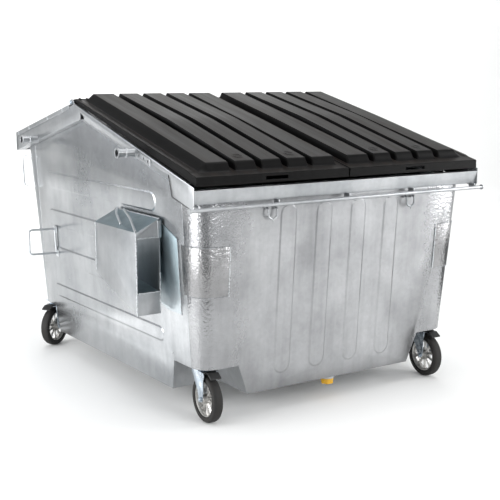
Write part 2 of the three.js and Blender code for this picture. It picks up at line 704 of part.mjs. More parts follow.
// ---- front rail and lashing eyes ----
let rail = cylX(-RAIL_HALF, RAIL_HALF, RAIL_Y, RAIL_Z, RAIL_R, 16);
for (const x of [-915, -450, 0, 450, 915]) {
  rail = rail.add(box(x - 3, x + 3, RAIL_Y, -1128, RAIL_Z - 2, RIM_LOW_Z - SHEET - GAP));
}
for (const x of [-RAIL_HALF + 3, RAIL_HALF - 3]) {
  rail = rail.add(cylX(x - 3, x + 3, RAIL_Y, RAIL_Z, RAIL_R + 5, 16));
}
add("front_rail", rail, zinc());

function eye(x) {
  const y = frontY(1106) - GAP;
  const yo = frontY(1070) - 26;
  const pts = [
    [x - 26, y - 5, 1107],
    [x - 26, yo, 1101],
    [x - 26, yo, 1058],
    [x, yo, 1044],
    [x + 26, yo, 1058],
    [x + 26, yo, 1101],
    [x + 26, y - 5, 1107],
  ];
  let s = bar(pts, 5.5, 8, 12);
  const pad = (px) => {
    const at = (z, d) => [frontY(z) - d, z];
    return prismYZ([at(1092, GAP), at(1119, GAP), at(1119, 7), at(1092, 7)], px - 9, px + 9);
  };
  s = s.add(pad(x - 26)).add(pad(x + 26));
  return largest(s);
}
add("lashing_eye_left", eye(-462), zinc());
add("lashing_eye_right", eye(462), zinc());

// ---- handles ----
function sideHandle() {
  const x = sideX(730) + 6;
  const pts = [[x, 670, 806], [STUB_X, 670, 812], [STUB_X, 670, 658], [x, 670, 652]];
  let s = bar(pts, 7, 8, 22);
  const pad = (z) => {
    const low = [[GAP, z - 22], [7, z - 22], [7, z + 22], [GAP, z + 22]];
    const at = (y) => low.map(([d, h]) => [sideX(h) + d, y, h]);
    return loft([at(648), at(692)], [0, 2]);
  };
  s = s.add(pad(806 - 40 + 34)).add(pad(652));
  return s;
}
let handleR = sideHandle();
for (const [z0, z1] of sideBeads) {
  handleR = handleR.subtract(bead(-687, 763, z0 - 1, z1 + 1, (a, z, d) => [sideX(z) + d + GAP, a, z], 6, 8));
}
handleR = largest(handleR);
add("side_handle_left", flipX(handleR), zinc());
add("side_handle_right", handleR, zinc());

function rearHandle() {
  const s2 = Math.SQRT1_2;
  const point = (z, d) => {
    const cx = sideX(z) - CORNER_R;
    const cy = rearY(z) - CORNER_R;
    return [cx + (CORNER_R + d) * s2, cy + (CORNER_R + d) * s2, z];
  };
  const pts = [point(1238, 6), point(1238, 72), point(1040, 80), point(1040, 6)];
  let s = bar(pts, 7, 8, 28);
  for (const z of [1238, 1040]) {
    const ringOf = (d) => {
      const list = [];
      for (const [t, h] of [[-18, -18], [18, -18], [18, 18], [-18, 18]]) {
        const p = point(z + h, d);
        list.push([p[0] - t * s2, p[1] + t * s2, p[2]]);
      }
      return list;
    };
    s = s.add(loft([ringOf(GAP + 0.1), ringOf(8)], [1, 2]));
  }
  return s;
}
const rearHandleR = rearHandle();
add("rear_handle_left", flipX(rearHandleR), zinc());
add("rear_handle_right", rearHandleR, zinc());

// ---- drain ----
const [dx, dy] = DRAIN;
const socket = cylZ(dx, dy, FLOOR_Z - 10, FLOOR_Z - GAP, 42, 24);
add("drain_socket", socket.subtract(cylZ(dx, dy, FLOOR_Z - 11, FLOOR_Z, 30 + GAP, 24)), zinc());
let plug = cylZ(dx, dy, FLOOR_Z - 24, FLOOR_Z - GAP - 1, 30, 24);
plug = plug.add(M.cylinder(20, 36, 36, 6).translate([dx, dy, FLOOR_Z - 42]));
plug = plug.add(cylZ(dx, dy, FLOOR_Z - 25, FLOOR_Z - 10 - GAP, 36, 24));
add("drain_plug", plug, yellow());

// ---- casters ----
function caster(name, px, py, heading) {
  const place = (s) => s.rotate([0, 0, heading]).translate([px, py, 0]);
  const z1 = DECK_Z - GAP;
  let plate = box(-66, 66, -52, 52, z1 - 6, z1);
  plate = plate.add(cylZ(0, 0, z1 - 11, z1 - 5, 40, 28));
  const race = z1 - 11 - GAP;
  const crownZ = race - 12;
  plate = plate.add(cylZ(0, 0, crownZ - 4, z1 - 6, 7, 16));
  plate = plate.add(cylZ(0, 0, crownZ - 7, crownZ - GAP, 11, 6));
  add(`${name}_plate`, plate.translate([px, py, 0]), plated());
  let fork = cylZ(0, 0, race - 8, race, 44, 28);
  fork = fork.add(box(-41, 41, -72, 46, crownZ, race - 7));
  const leg = [
    [-86, race - 7],
    [-76, WHEEL_R + 20],
    [-TRAIL - 15, WHEEL_R - 8],
    [-TRAIL, WHEEL_R - 16],
    [-TRAIL + 15, WHEEL_R - 8],
    [-18, WHEEL_R + 46],
    [46, race - 7],
  ];
  fork = fork.add(prismYZ(leg, -41, -36)).add(prismYZ(leg, 36, 41));
  fork = fork.subtract(cylX(-50, 50, -TRAIL, WHEEL_R, AXLE_R + FIT, 20));
  fork = fork.subtract(cylZ(0, 0, crownZ - 1, race + 1, 7 + FIT, 20));
  add(`${name}_fork`, place(fork), plated());
  let bolt = cylX(-52, 52, -TRAIL, WHEEL_R, AXLE_R, 20);
  bolt = bolt.add(cylX(41 + GAP, 49, -TRAIL, WHEEL_R, 13, 6));
  bolt = bolt.add(cylX(-50, -41 - GAP, -TRAIL, WHEEL_R, 13, 6));
  add(`${name}_axle`, place(bolt), plated());
  const toWheel = (s) => place(s.rotate([0, 90, 0]).translate([0, -TRAIL, WHEEL_R]));
  const hubW = 35;
  const rimProfileHalf = [
    [AXLE_R + FIT, -hubW + 0.6],
    [23, -hubW + 0.6],
    [26, -9],
    [78, -9],
    [86, -22],
    [RIM_R, -22],
    [RIM_R, 22],
    [86, 22],
    [78, 9],
    [26, 9],
    [23, hubW - 0.6],
    [AXLE_R + FIT, hubW - 0.6],
  ];
  let rim = M.revolve([rimProfileHalf], 24);
  for (let k = 0; k < 5; k++) {
    const hole = M.cylinder(60, 13, 13, 8).translate([0, 50, -30]).rotate([0, 0, 72 * k]);
    rim = rim.subtract(hole);
  }
  add(`${name}_rim`, toWheel(rim), cast());
  const tyreProfile = [
    [RIM_R + 1, -WHEEL_W / 2],
    [WHEEL_R - 10, -WHEEL_W / 2],
    [WHEEL_R, -WHEEL_W / 2 + 14],
    [WHEEL_R, WHEEL_W / 2 - 14],
    [WHEEL_R - 10, WHEEL_W / 2],
    [RIM_R + 1, WHEEL_W / 2],
  ];
  add(`${name}_tyre`, toWheel(M.revolve([tyreProfile], 32)), rubber());
  let pedal = box(-27, 27, -117, -79, crownZ + 1, crownZ + 9);
  pedal = pedal.add(cylX(-36 + GAP, 36 - GAP, -79, crownZ + 4, 5, 14));
  pedal = pedal.add(loft([
    [[-30, -116, crownZ + 9], [30, -116, crownZ + 9], [30, -116, crownZ + 1], [-30, -116, crownZ + 1]],
    [[-30, -150, crownZ - 12], [30, -150, crownZ - 12], [30, -148, crownZ - 19], [-30, -148, crownZ - 19]],
  ], [0, 2]));
  add(`${name}_pedal`, place(pedal), pedalBlack());
}
caster("caster_fl", -CASTER_X, CASTER_FRONT_Y, -3);
caster("caster_fr", CASTER_X, CASTER_FRONT_Y, -3);
caster("caster_rl", -CASTER_X, CASTER_REAR_Y, -57);
caster("caster_rr", CASTER_X, CASTER_REAR_Y, 100);

export default root;
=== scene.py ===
import math

import bmesh
import bpy
from mathutils import Matrix, Vector


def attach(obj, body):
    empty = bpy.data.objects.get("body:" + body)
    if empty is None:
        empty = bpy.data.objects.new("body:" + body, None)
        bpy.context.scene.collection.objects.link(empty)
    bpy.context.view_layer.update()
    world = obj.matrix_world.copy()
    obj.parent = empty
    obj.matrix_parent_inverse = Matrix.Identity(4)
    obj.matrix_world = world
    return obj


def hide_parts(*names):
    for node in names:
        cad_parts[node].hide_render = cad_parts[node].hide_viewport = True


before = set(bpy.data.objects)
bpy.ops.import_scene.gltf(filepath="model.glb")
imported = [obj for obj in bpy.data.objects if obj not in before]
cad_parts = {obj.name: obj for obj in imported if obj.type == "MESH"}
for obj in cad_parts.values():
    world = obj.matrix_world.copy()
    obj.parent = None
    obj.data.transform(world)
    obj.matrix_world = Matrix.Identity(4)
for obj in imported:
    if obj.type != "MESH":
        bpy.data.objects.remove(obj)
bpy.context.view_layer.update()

MM = 0.001
SHIFT_Y = 48.75

# sizes in millimetres, the tub's own frame before SHIFT_Y is added
RIM_HALF = 940
WHEEL_R = 125
WHEEL_W = 55
RIM_R = 94
TRAIL = 55
HINGE = (206, 1606)
ROD_R = 8
LID_HALF = 926
LID_SPLIT = 4
LID_FRONT = (-1168, 1284)
LID_RIDGE = (188, 1623)
LID_T = 5
LIP_FRONT = 45
LIP_RIDGE = 20
CASTERS = {
    "fl": (-756, -925, -3),
    "fr": (756, -925, -3),
    "rl": (-756, 925, -57),
    "rr": (756, 925, 100),
}


def at(x, y, z):
    """A point of the tub's frame in millimetres, as metres in the model's frame."""
    return Vector((x * MM, (y + SHIFT_Y) * MM, z * MM))


# ---------------------------------------------------------------- materials


def tint(hexcode):
    """An sRGB hex colour as linear RGBA."""
    parts = [int(hexcode[i : i + 2], 16) / 255 for i in (1, 3, 5)]
    linear = [c / 12.92 if c <= 0.04045 else ((c + 0.055) / 1.055) ** 2.4 for c in parts]
    return (*linear, 1.0)


def connect(tree, n, inputs):
    """Links a node's sockets from other nodes' outputs, or sets them to constants."""
    for key, value in inputs.items():
        if isinstance(value, bpy.types.NodeSocket):
            tree.links.new(value, n.inputs[key])
        else:
            n.inputs[key].default_value = value


def add_node(tree, kind, inputs=None, stops=(), **settings):
    """One node with its settings and links; a ramp's stops are hex colours or plain greys."""
    n = tree.nodes.new(kind)
    for key, value in settings.items():
        setattr(n, key, value)
    connect(tree, n, inputs or {})
    for k, (position, colour) in enumerate(stops):
        mark = n.color_ramp.elements[k]
        mark.position = position
        mark.color = tint(colour) if isinstance(colour, str) else (colour, colour, colour, 1.0)
    return n


def new_material(name):
    m = bpy.data.materials.new(name)
    m.use_nodes = True
    tree = m.node_tree
    tree.nodes.clear()
    shader = add_node(tree, "ShaderNodeBsdfPrincipled")
    add_node(tree, "ShaderNodeOutputMaterial", {"Surface": shader.outputs["BSDF"]})
    return m, tree, shader, add_node(tree, "ShaderNodeTexCoord").outputs["Object"]


NOISE = "ShaderNodeTexNoise"
RAMP = "ShaderNodeValToRGB"
MIX = "ShaderNodeMix"
BUMP = "ShaderNodeBump"
DRAW = "ShaderNodeMapping"
SPLIT = "ShaderNodeSeparateXYZ"
BLEND = {"data_type": "RGBA", "blend_type": "MIX"}
MULTIPLY = {"data_type": "RGBA", "blend_type": "MULTIPLY"}


def hot_dip_zinc(name, light, dark, pebble, corners=False, lower_painted_light="", polish=(0.4, 0.29), grit=115.0):
    """Hot-dip galvanised sheet: cold grey, cloudy, with runs and a faint crystal spangle.

    pebble is the strength of the grain left where the zinc ran off slowly, and grit its scale per metre.
    """
    m, tree, shader, coords = new_material(name)
    place = add_node(tree, SPLIT, {"Vector": coords})
    spread = {"Vector": coords, "Scale": 2.6, "Detail": 4.0, "Roughness": 0.6}
    cloud = add_node(tree, NOISE, spread).outputs["Fac"]
    base = add_node(tree, RAMP, {"Fac": cloud}, [(0.3, dark), (0.7, light)]).outputs["Color"]
    if lower_painted_light:
        # painted light: paler in the lower part, below about 670 mm
        lower = add_node(tree, RAMP, {"Fac": place.outputs["Z"]}, [(0.62, 1.0), (0.72, 0.0)]).outputs["Color"]
        base = add_node(tree, MIX, {0: lower, 6: base, 7: tint(lower_painted_light)}, **BLEND).outputs[2]
    # spangle crystals are 10 to 20 mm across
    cells = add_node(tree, "ShaderNodeTexVoronoi", {"Vector": coords, "Scale": 62.0}, feature="F1")
    crystal = add_node(tree, "ShaderNodeRGBToBW", {"Color": cells.outputs["Color"]}).outputs["Val"]
    flake = add_node(tree, RAMP, {"Fac": crystal}, [(0.0, 0.92), (1.0, 1.0)]).outputs["Color"]
    base = add_node(tree, MIX, {0: 1.0, 6: base, 7: flake}, **MULTIPLY).outputs[2]
    # runs are about 45 mm wide and ten times as long
    drawn = add_node(tree, DRAW, {"Vector": coords, "Scale": (22.0, 22.0, 1.6)}).outputs["Vector"]
    spread = {"Vector": drawn, "Scale": 1.0, "Detail": 3.0, "Roughness": 0.6}
    runs = add_node(tree, NOISE, spread).outputs["Fac"]
    streak = add_node(tree, RAMP, {"Fac": runs}, [(0.42, 1.0), (0.72, 0.9)]).outputs["Color"]
    base = add_node(tree, MIX, {0: 1.0, 6: base, 7: streak}, **MULTIPLY).outputs[2]
    rough = add_node(tree, RAMP, {"Fac": cloud}, [(0.25, polish[0]), (0.75, polish[1])]).outputs["Color"]
    sparkle = add_node(tree, RAMP, {"Fac": crystal}, [(0.0, 0.9), (1.0, 1.05)]).outputs["Color"]
    rough = add_node(tree, MIX, {0: 1.0, 6: rough, 7: sparkle}, **MULTIPLY).outputs[2]
    spread = {"Vector": coords, "Scale": 26.0, "Detail": 3.0, "Roughness": 0.6}
    skin = add_node(tree, NOISE, spread).outputs["Fac"]
    low = add_node(tree, BUMP, {"Height": skin, "Strength": 0.06, "Distance": 0.004}).outputs["Normal"]
    spread = {"Vector": coords, "Scale": grit, "Detail": 2.0, "Roughness": 0.6}
    grain = add_node(tree, NOISE, spread).outputs["Fac"]
    if corners:
        # pebbled and shinier only round the outer corners, from about 650 mm off the middle
        side = add_node(tree, "ShaderNodeMath", {0: place.outputs["X"]}, operation="ABSOLUTE").outputs[0]
        mask = add_node(tree, RAMP, {"Fac": side}, [(0.56, 0.08), (0.78, 1.0)]).outputs["Color"]
        grain = add_node(tree, MIX, {0: 1.0, 6: grain, 7: mask}, **MULTIPLY).outputs[2]
        glossy = add_node(tree, RAMP, {"Fac": side}, [(0.5, 1.0), (0.74, 0.62)]).outputs["Color"]
        rough = add_node(tree, MIX, {0: 1.0, 6: rough, 7: glossy}, **MULTIPLY).outputs[2]
    relief = {"Height": grain, "Strength": pebble, "Distance": 0.004, "Normal": low}
    normal = add_node(tree, BUMP, relief).outputs["Normal"]
    connect(tree, shader, {"Base Color": base, "Metallic": 0.94, "Roughness": rough, "Normal": normal})
    return m


def plain_finish(name, metallic, tone_of, colours, polish, grain, relief, ior=None):
    """A finish of one material: a blotchy tone, a polish that follows it, and a fine grain.

    tone_of is the tone's scale, detail and roughness; grain is the grain's scale and detail, and
    relief its strength and depth.
    """
    m, tree, shader, coords = new_material(name)
    spread = {"Vector": coords, "Scale": tone_of[0], "Detail": tone_of[1], "Roughness": tone_of[2]}
    tone = add_node(tree, NOISE, spread).outputs["Fac"]
    rough = polish
    if isinstance(polish, list):
        rough = add_node(tree, RAMP, {"Fac": tone}, polish).outputs["Color"]
    fine = {"Vector": coords, "Scale": grain[0], "Detail": grain[1], "Roughness": 0.55}
    height = add_node(tree, NOISE, fine).outputs["Fac"]
    normal = add_node(tree, BUMP, {"Height": height, "Strength": relief[0], "Distance": relief[1]})
    base = add_node(tree, RAMP, {"Fac": tone}, colours).outputs["Color"]
    connect(tree, shader, {"Base Color": base, "Metallic": metallic, "Roughness": rough})
    connect(tree, shader, {"Normal": normal.outputs["Normal"]})
    if ior:
        connect(tree, shader, {"IOR": ior})
    return m


def bright_zinc(name):
    """Electroplated zinc on pressed steel: bluish, smooth and fairly sharp in its reflections."""
    colours = [(0.3, "#aab6c2"), (0.75, "#d7dee4")]
    polish = [(0.3, 0.34), (0.8, 0.2)]
    return plain_finish(name, 1.0, (34.0, 3.0, 0.55), colours, polish, (240.0, 2.0), (0.06, 0.0006))


def cast_aluminium(name):
    """Die-cast aluminium: pale warm grey, slightly grainy, greyer in patches."""
    colours = [(0.3, "#8f8d8a"), (0.62, "#cfcecb")]
    polish = [(0.3, 0.5), (0.7, 0.3)]
    return plain_finish(name, 0.95, (28.0, 4.0, 0.65), colours, polish, (420.0, 2.0), (0.12, 0.0006))


def solid_rubber(name):
    """Vulcanised solid rubber: dull black with pale road dust rubbed into it."""
    colours = [(0.38, "#111111"), (0.72, "#2b2825")]
    polish = [(0.3, 0.62), (0.8, 0.92)]
    return plain_finish(name, 0.0, (36.0, 5.0, 0.7), colours, polish, (330.0, 3.0), (0.25, 0.0008))


def matt_moulding(name, dark, light, rough):
    """Injection-moulded nylon or polypropylene: even colour, fine spark-eroded grain.

    Black card, the painted shadow in a lap seam and the painted shade in a strap hole look much the same,
    only duller.
    """
    tone_of = (40.0, 3.0, 0.55)
    colours = [(0.3, dark), (0.75, light)]
    return plain_finish(name, 0.0, tone_of, colours, rough, (700.0, 2.0), (0.15, 0.0004), ior=1.53)


def lid_polyethylene(name):
    """Rotation-moulded black polyethylene: waxy sheen, streaks down the slope, brown-grey dust and painted
    sheen on top.
    """
    m, tree, shader, coords = new_material(name)
    # streaks are about 30 mm wide and run down the slope
    drawn = add_node(tree, DRAW, {"Vector": coords, "Scale": (30.0, 1.2, 4.0)}).outputs["Vector"]
    spread = {"Vector": drawn, "Scale": 1.0, "Detail": 4.0, "Roughness": 0.6}
    streaks = add_node(tree, NOISE, spread).outputs["Fac"]
    spread = {"Vector": coords, "Scale": 3.2, "Detail": 4.0, "Roughness": 0.6}
    patches = add_node(tree, NOISE, spread).outputs["Fac"]
    body = add_node(tree, RAMP, {"Fac": patches}, [(0.3, "#080808"), (0.75, "#100f0f")]).outputs["Color"]
    # painted sheen with dust: faces that look upwards get a streaked brown-grey film
    facing = add_node(tree, "ShaderNodeNewGeometry").outputs["Normal"]
    up = add_node(tree, SPLIT, {"Vector": facing}).outputs["Z"]
    lying = add_node(tree, RAMP, {"Fac": up}, [(0.86, 0.0), (0.97, 1.0)]).outputs["Color"]
    dust_and_sheen_streaks = add_node(tree, RAMP, {"Fac": streaks}, [(0.36, 0.1), (0.66, 0.95)]).outputs["Color"]
    dust_and_sheen_share = add_node(tree, MIX, {0: 1.0, 6: lying, 7: dust_and_sheen_streaks}, **MULTIPLY).outputs[2]
    base = add_node(tree, MIX, {0: dust_and_sheen_share, 6: body, 7: tint("#241f1c")}, **BLEND).outputs[2]
    rough = add_node(tree, RAMP, {"Fac": streaks}, [(0.3, 0.32), (0.75, 0.46)]).outputs["Color"]
    fine = add_node(tree, NOISE, {"Vector": coords, "Scale": 520.0, "Detail": 2.0, "Roughness": 0.55})
    low = add_node(tree, BUMP, {"Height": fine.outputs["Fac"], "Strength": 0.12, "Distance": 0.0007})
    relief = {"Height": streaks, "Strength": 0.1, "Distance": 0.002, "Normal": low.outputs["Normal"]}
    normal = add_node(tree, BUMP, relief).outputs["Normal"]
    connect(tree, shader, {"Base Color": base, "Roughness": rough, "Normal": normal})
    connect(tree, shader, {"IOR": 1.51, "Specular IOR Level": 0.1})
    return m


def studio_floor(name):
    """Matt paper sweep: nearly white, with a barely uneven tone."""
    m, tree, shader, coords = new_material(name)
    spread = {"Vector": coords, "Scale": 0.7, "Detail": 2.0, "Roughness": 0.55}
    tone = add_node(tree, NOISE, spread).outputs["Fac"]
    base = add_node(tree, RAMP, {"Fac": tone}, [(0.3, "#f1f1f0"), (0.7, "#f6f6f5")]).outputs["Color"]
    connect(tree, shader, {"Base Color": base, "Roughness": 0.75})
    return m


SIDE_POLISH = (0.3, 0.19)
PATCH_POLISH = (0.26, 0.18)
COARSE = 75.0
ZINC = hot_dip_zinc("hot_dip_galvanised_sheet", "#c0c2c4", "#9b9ea1", 0.03)
ZINC_SIDE = hot_dip_zinc("hot_dip_galvanised_side", "#c0c2c4", "#9b9ea1", 0.03, polish=SIDE_POLISH)
ZINC_FRONT = hot_dip_zinc("hot_dip_galvanised_front", "#bcbdbf", "#98999b", 0.9, corners=True, grit=COARSE)
ZINC_ROUGH = hot_dip_zinc(
    "hot_dip_galvanised_pebbled", "#bdbdbe", "#919192", 0.9, polish=PATCH_POLISH, grit=COARSE
)
# painted shade: a darker, bluish copy of the zinc for the fork pockets, with painted light below about 670
# mm; the next is a paler copy, painted light inside the tunnels
ZINC_PAINTED_SHADE = hot_dip_zinc("hot_dip_galvanised_painted_shade", "#b6c4ca", "#84949b", 0.3, lower_painted_light="#bcc4c8")
ZINC_TUNNEL_PAINTED_LIGHT = hot_dip_zinc("hot_dip_galvanised_tunnel_painted_light", "#d3e0e5", "#a9b8bf", 0.3)
# pale zinc over weld metal with a painted highlight; handles, rivets and the pocket roof bars take it as a
# painted highlight
ZINC_WELD_AND_HIGHLIGHT = hot_dip_zinc("pale_weld_zinc_and_painted_highlight", "#e6e9eb", "#cdd1d4", 0.2)
PLATED = bright_zinc("bright_zinc_plated_steel")
CAST = cast_aluminium("die_cast_aluminium")
RUBBER = solid_rubber("solid_black_rubber")
LID = lid_polyethylene("rotomoulded_black_polyethylene")
PEDAL = matt_moulding("moulded_black_nylon", "#0b0b0c", "#131415", 0.5)
# painted shadow: a dark finish for strips along the gusset lap seams
SEAM_SHADOW = matt_moulding("painted_shadow_in_lap_seams", "#1b1b1b", "#2b2a29", 0.9)
# black card seen only in reflections, and dark discs painted as shade in the strap holes
CARD_AND_HOLE_SHADE = matt_moulding("black_card_and_painted_hole_shade", "#1b1b1b", "#242424", 0.9)
PLUG = matt_moulding("moulded_yellow_polypropylene", "#c9930f", "#e6b526", 0.42)

# ---------------------------------------------------------------- mesh helpers

# faces that meet within this many degrees count as one flat before its edges are eased
FLAT_WITHIN = 0.6


def put(name, data):
    """A new object, linked to the scene."""
    ob = bpy.data.objects.new(name, data)
    bpy.context.scene.collection.objects.link(ob)
    return ob


def with_modifiers(ob):
    """An object's mesh as its modifiers leave it."""
    graph = bpy.context.evaluated_depsgraph_get()
    return bpy.data.meshes.new_from_object(ob.evaluated_get(graph))


def piece(name, verts, faces, material, body, slot, smooth=40.0, covers=()):
    """A finished mesh object that rides on a body, in the model's own frame."""
    mesh = bpy.data.meshes.new(name)
    mesh.from_pydata([tuple(v) for v in verts], [], faces)
    mesh.materials.append(material)
    return settle(name, mesh, body, smooth, covers)


def settle(name, mesh, body, smooth=40.0, covers=(), outward=True):
    bm = bmesh.new()
    bm.from_mesh(mesh)
    bmesh.ops.remove_doubles(bm, verts=bm.verts, dist=1e-6)
    if outward:
        bmesh.ops.recalc_face_normals(bm, faces=bm.faces)
    bm.to_mesh(mesh)
    bm.free()
    mesh.update()
    mesh.shade_smooth()
    if smooth:
        mesh.set_sharp_from_angle(angle=math.radians(smooth))
    ob = put(name, mesh)
    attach(ob, body)
    if covers:
        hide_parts(*covers)
    return ob


def eased_sheet(node, material, body, radius, steps):
    """A CAD node's own shape with its edges eased, as folded, cut and dipped sheet has them."""
    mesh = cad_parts[node].data.copy()
    mesh.name = node + "_eased"
    bm = bmesh.new()
    bm.from_mesh(mesh)
    bmesh.ops.remove_doubles(bm, verts=bm.verts, dist=2e-6)
    flat = math.radians(FLAT_WITHIN)
    bmesh.ops.dissolve_limit(bm, angle_limit=flat, verts=bm.verts, edges=bm.edges)
    bm.to_mesh(mesh)
    bm.free()
    mesh.materials.clear()
    mesh.materials.append(material)
    ob = settle(node + "_eased", mesh, body, 35.0, (node,), outward=False)
    bevel = ob.modifiers.new("eased", "BEVEL")
    bevel.width = radius * MM
    bevel.segments = steps
    bevel.limit_method = "ANGLE"
    bevel.angle_limit = math.radians(28)
    bevel.miter_outer = "MITER_ARC"
    eased = with_modifiers(ob)
    ob.modifiers.clear()
    ob.data = eased
    eased.shade_smooth()
    eased.set_sharp_from_angle(angle=math.radians(38))
    return ob


def joined(shapes):
    """Several (verts, faces) lists as one."""
    verts, faces = [], []
    for v, f in shapes:
        base = len(verts)
        verts += list(v)
        faces += [[i + base for i in loop] for loop in f]
    return verts, faces


def mirrored(shape):
    return [Vector((-v[0], v[1], v[2])) for v in shape[0]], [list(reversed(f)) for f in shape[1]]


def eased_path(points, ease, steps=6):
    """Corner points with each corner turned into a short curve."""
    pts = [Vector(p) for p in points]
    out = [pts[0]]
    for before, here, after in zip(pts, pts[1:], pts[2:]):
        a = here + (before - here).normalized() * ease
        b = here + (after - here).normalized() * ease
        for k in range(steps + 1):
            t = k / steps
            out.append(a * (1 - t) ** 2 + here * 2 * t * (1 - t) + b * t**2)
    out.append(pts[-1])
    return out


def round_bar(path, radius, sides=16):
    """Round bar along a path, with eased ends."""
    rings = []
    side = None
    n = len(path)
    for i, p in enumerate(path):
        t = (path[min(i + 1, n - 1)] - path[max(i - 1, 0)]).normalized()
        if side is None:
            side = Vector((0, 0, 1)) if abs(t.z) < 0.9 else Vector((1, 0, 0))
        side = (side - t * side.dot(t)).normalized()
        up = t.cross(side)
        rings.append((p, side, up, radius))
    first, last = rings[0], rings[-1]
    lead = (path[1] - path[0]).normalized()
    tail = (path[-1] - path[-2]).normalized()
    rings.insert(0, (first[0] - lead * radius * 0.12, first[1], first[2], radius * 0.86))
    rings.append((last[0] + tail * radius * 0.12, last[1], last[2], radius * 0.86))
    verts, faces = [], []
    for p, s, u, r in rings:
        for k in range(sides):
            a = 2 * math.pi * k / sides
            verts.append(p + s * (r * math.cos(a)) + u * (r * math.sin(a)))
    for k in range(len(rings) - 1):
        for i in range(sides):
            j = (i + 1) % sides
            faces.append([k * sides + i, k * sides + j, (k + 1) * sides + j, (k + 1) * sides + i])
    faces.append(list(range(sides))[::-1])
    faces.append([(len(rings) - 1) * sides + i for i in range(sides)])
    return verts, faces


def turned(profile, sides, matrix, closed=True):
    """A profile of (radius, height) pairs turned about the local Z axis."""
    verts, faces = [], []
    n = len(profile)
    for k in range(sides):
        a = 2 * math.pi * k / sides
        for r, h in profile:
            verts.append(matrix @ Vector((r * math.cos(a), r * math.sin(a), h)))
    for k in range(sides):
        j = (k + 1) % sides
        for i in range(n if closed else n - 1):
            m = (i + 1) % n
            faces.append([k * n + i, j * n + i, j * n + m, k * n + m])
    return verts, faces


def rounded_block(size, ease, matrix):
    """A block with every edge eased."""
    bm = bmesh.new()
    bmesh.ops.create_cube(bm, size=1.0)
    bmesh.ops.scale(bm, vec=Vector(size), verts=bm.verts)
    bmesh.ops.bevel(bm, geom=bm.edges[:], offset=ease, segments=2, affect="EDGES", profile=0.5)
    bm.verts.index_update()
    verts = [matrix @ v.co for v in bm.verts]
    faces = [[v.index for v in f.verts] for f in bm.faces]
    bm.free()
    return verts, faces


# ---------------------------------------------------------------- repeated things


def new_tree(name, sockets):
    tree = bpy.data.node_groups.new(name, "GeometryNodeTree")
    tree.interface.new_socket("Geometry", in_out="INPUT", socket_type="NodeSocketGeometry")
    for label, kind, value in sockets:
        s = tree.interface.new_socket(label, in_out="INPUT", socket_type=kind)
        if value is not None:
            s.default_value = value
    tree.interface.new_socket("Geometry", in_out="OUTPUT", socket_type="NodeSocketGeometry")
    return tree, add_node(tree, "NodeGroupInput"), add_node(tree, "NodeGroupOutput")


def dress(tree, instances, start, end, smooth):
    """The end of a tree: its copies made real, smoothed where wanted, and given their finish."""
    made = add_node(tree, "GeometryNodeRealizeInstances", {"Geometry": instances})
    if smooth:
        made = add_node(tree, "GeometryNodeSetShadeSmooth", {"Geometry": made.outputs["Geometry"]})
    inputs = {"Geometry": made.outputs["Geometry"], "Material": start.outputs["Finish"]}
    made = add_node(tree, "GeometryNodeSetMaterial", inputs)
    tree.links.new(made.outputs["Geometry"], end.inputs["Geometry"])


# shares of a fastener head's height and radius
HEAD_LIFT = 0.62
WASHER_WIDTH = 1.55
WASHER_DEPTH = 0.32
# how far weld drops stray from their line, in metres
DRIFT = 0.0016


def heads_tree():
    """Fastener heads: a head on a washer at every point, turned to the point's aim."""
    sockets = [
        ("Head Radius", "NodeSocketFloat", 0.008),
        ("Head Height", "NodeSocketFloat", 0.005),
        ("Sides", "NodeSocketInt", 6),
        ("Finish", "NodeSocketMaterial", None),
    ]
    tree, start, end = new_tree("fastener_heads", sockets)
    radius, height = start.outputs["Head Radius"], start.outputs["Head Height"]
    aim = add_node(tree, "GeometryNodeInputNamedAttribute", {"Name": "aim"}, data_type="FLOAT_VECTOR")
    turn = add_node(tree, "FunctionNodeAlignRotationToVector", {"Vector": aim.outputs["Attribute"]}, axis="Z")
    size = {"Vertices": start.outputs["Sides"], "Radius": radius, "Depth": height}
    head = add_node(tree, "GeometryNodeMeshCylinder", size)
    half = add_node(tree, "ShaderNodeMath", {0: height, 1: HEAD_LIFT}, operation="MULTIPLY")
    lift = add_node(tree, "ShaderNodeCombineXYZ", {"Z": half.outputs[0]})
    shift = {"Geometry": head.outputs["Mesh"], "Translation": lift.outputs[0]}
    raised = add_node(tree, "GeometryNodeTransform", shift)
    wide = add_node(tree, "ShaderNodeMath", {0: radius, 1: WASHER_WIDTH}, operation="MULTIPLY")
    thin = add_node(tree, "ShaderNodeMath", {0: height, 1: WASHER_DEPTH}, operation="MULTIPLY")
    size = {"Vertices": 20, "Radius": wide.outputs[0], "Depth": thin.outputs[0]}
    washer = add_node(tree, "GeometryNodeMeshCylinder", size)
    both = add_node(tree, "GeometryNodeJoinGeometry")
    tree.links.new(raised.outputs[0], both.inputs[0])
    tree.links.new(washer.outputs["Mesh"], both.inputs[0])
    inputs = {"Points": start.outputs["Geometry"], "Instance": both.outputs[0], "Rotation": turn.outputs[0]}
    spread = add_node(tree, "GeometryNodeInstanceOnPoints", inputs)
    dress(tree, spread.outputs["Instances"], start, end, False)
    return tree


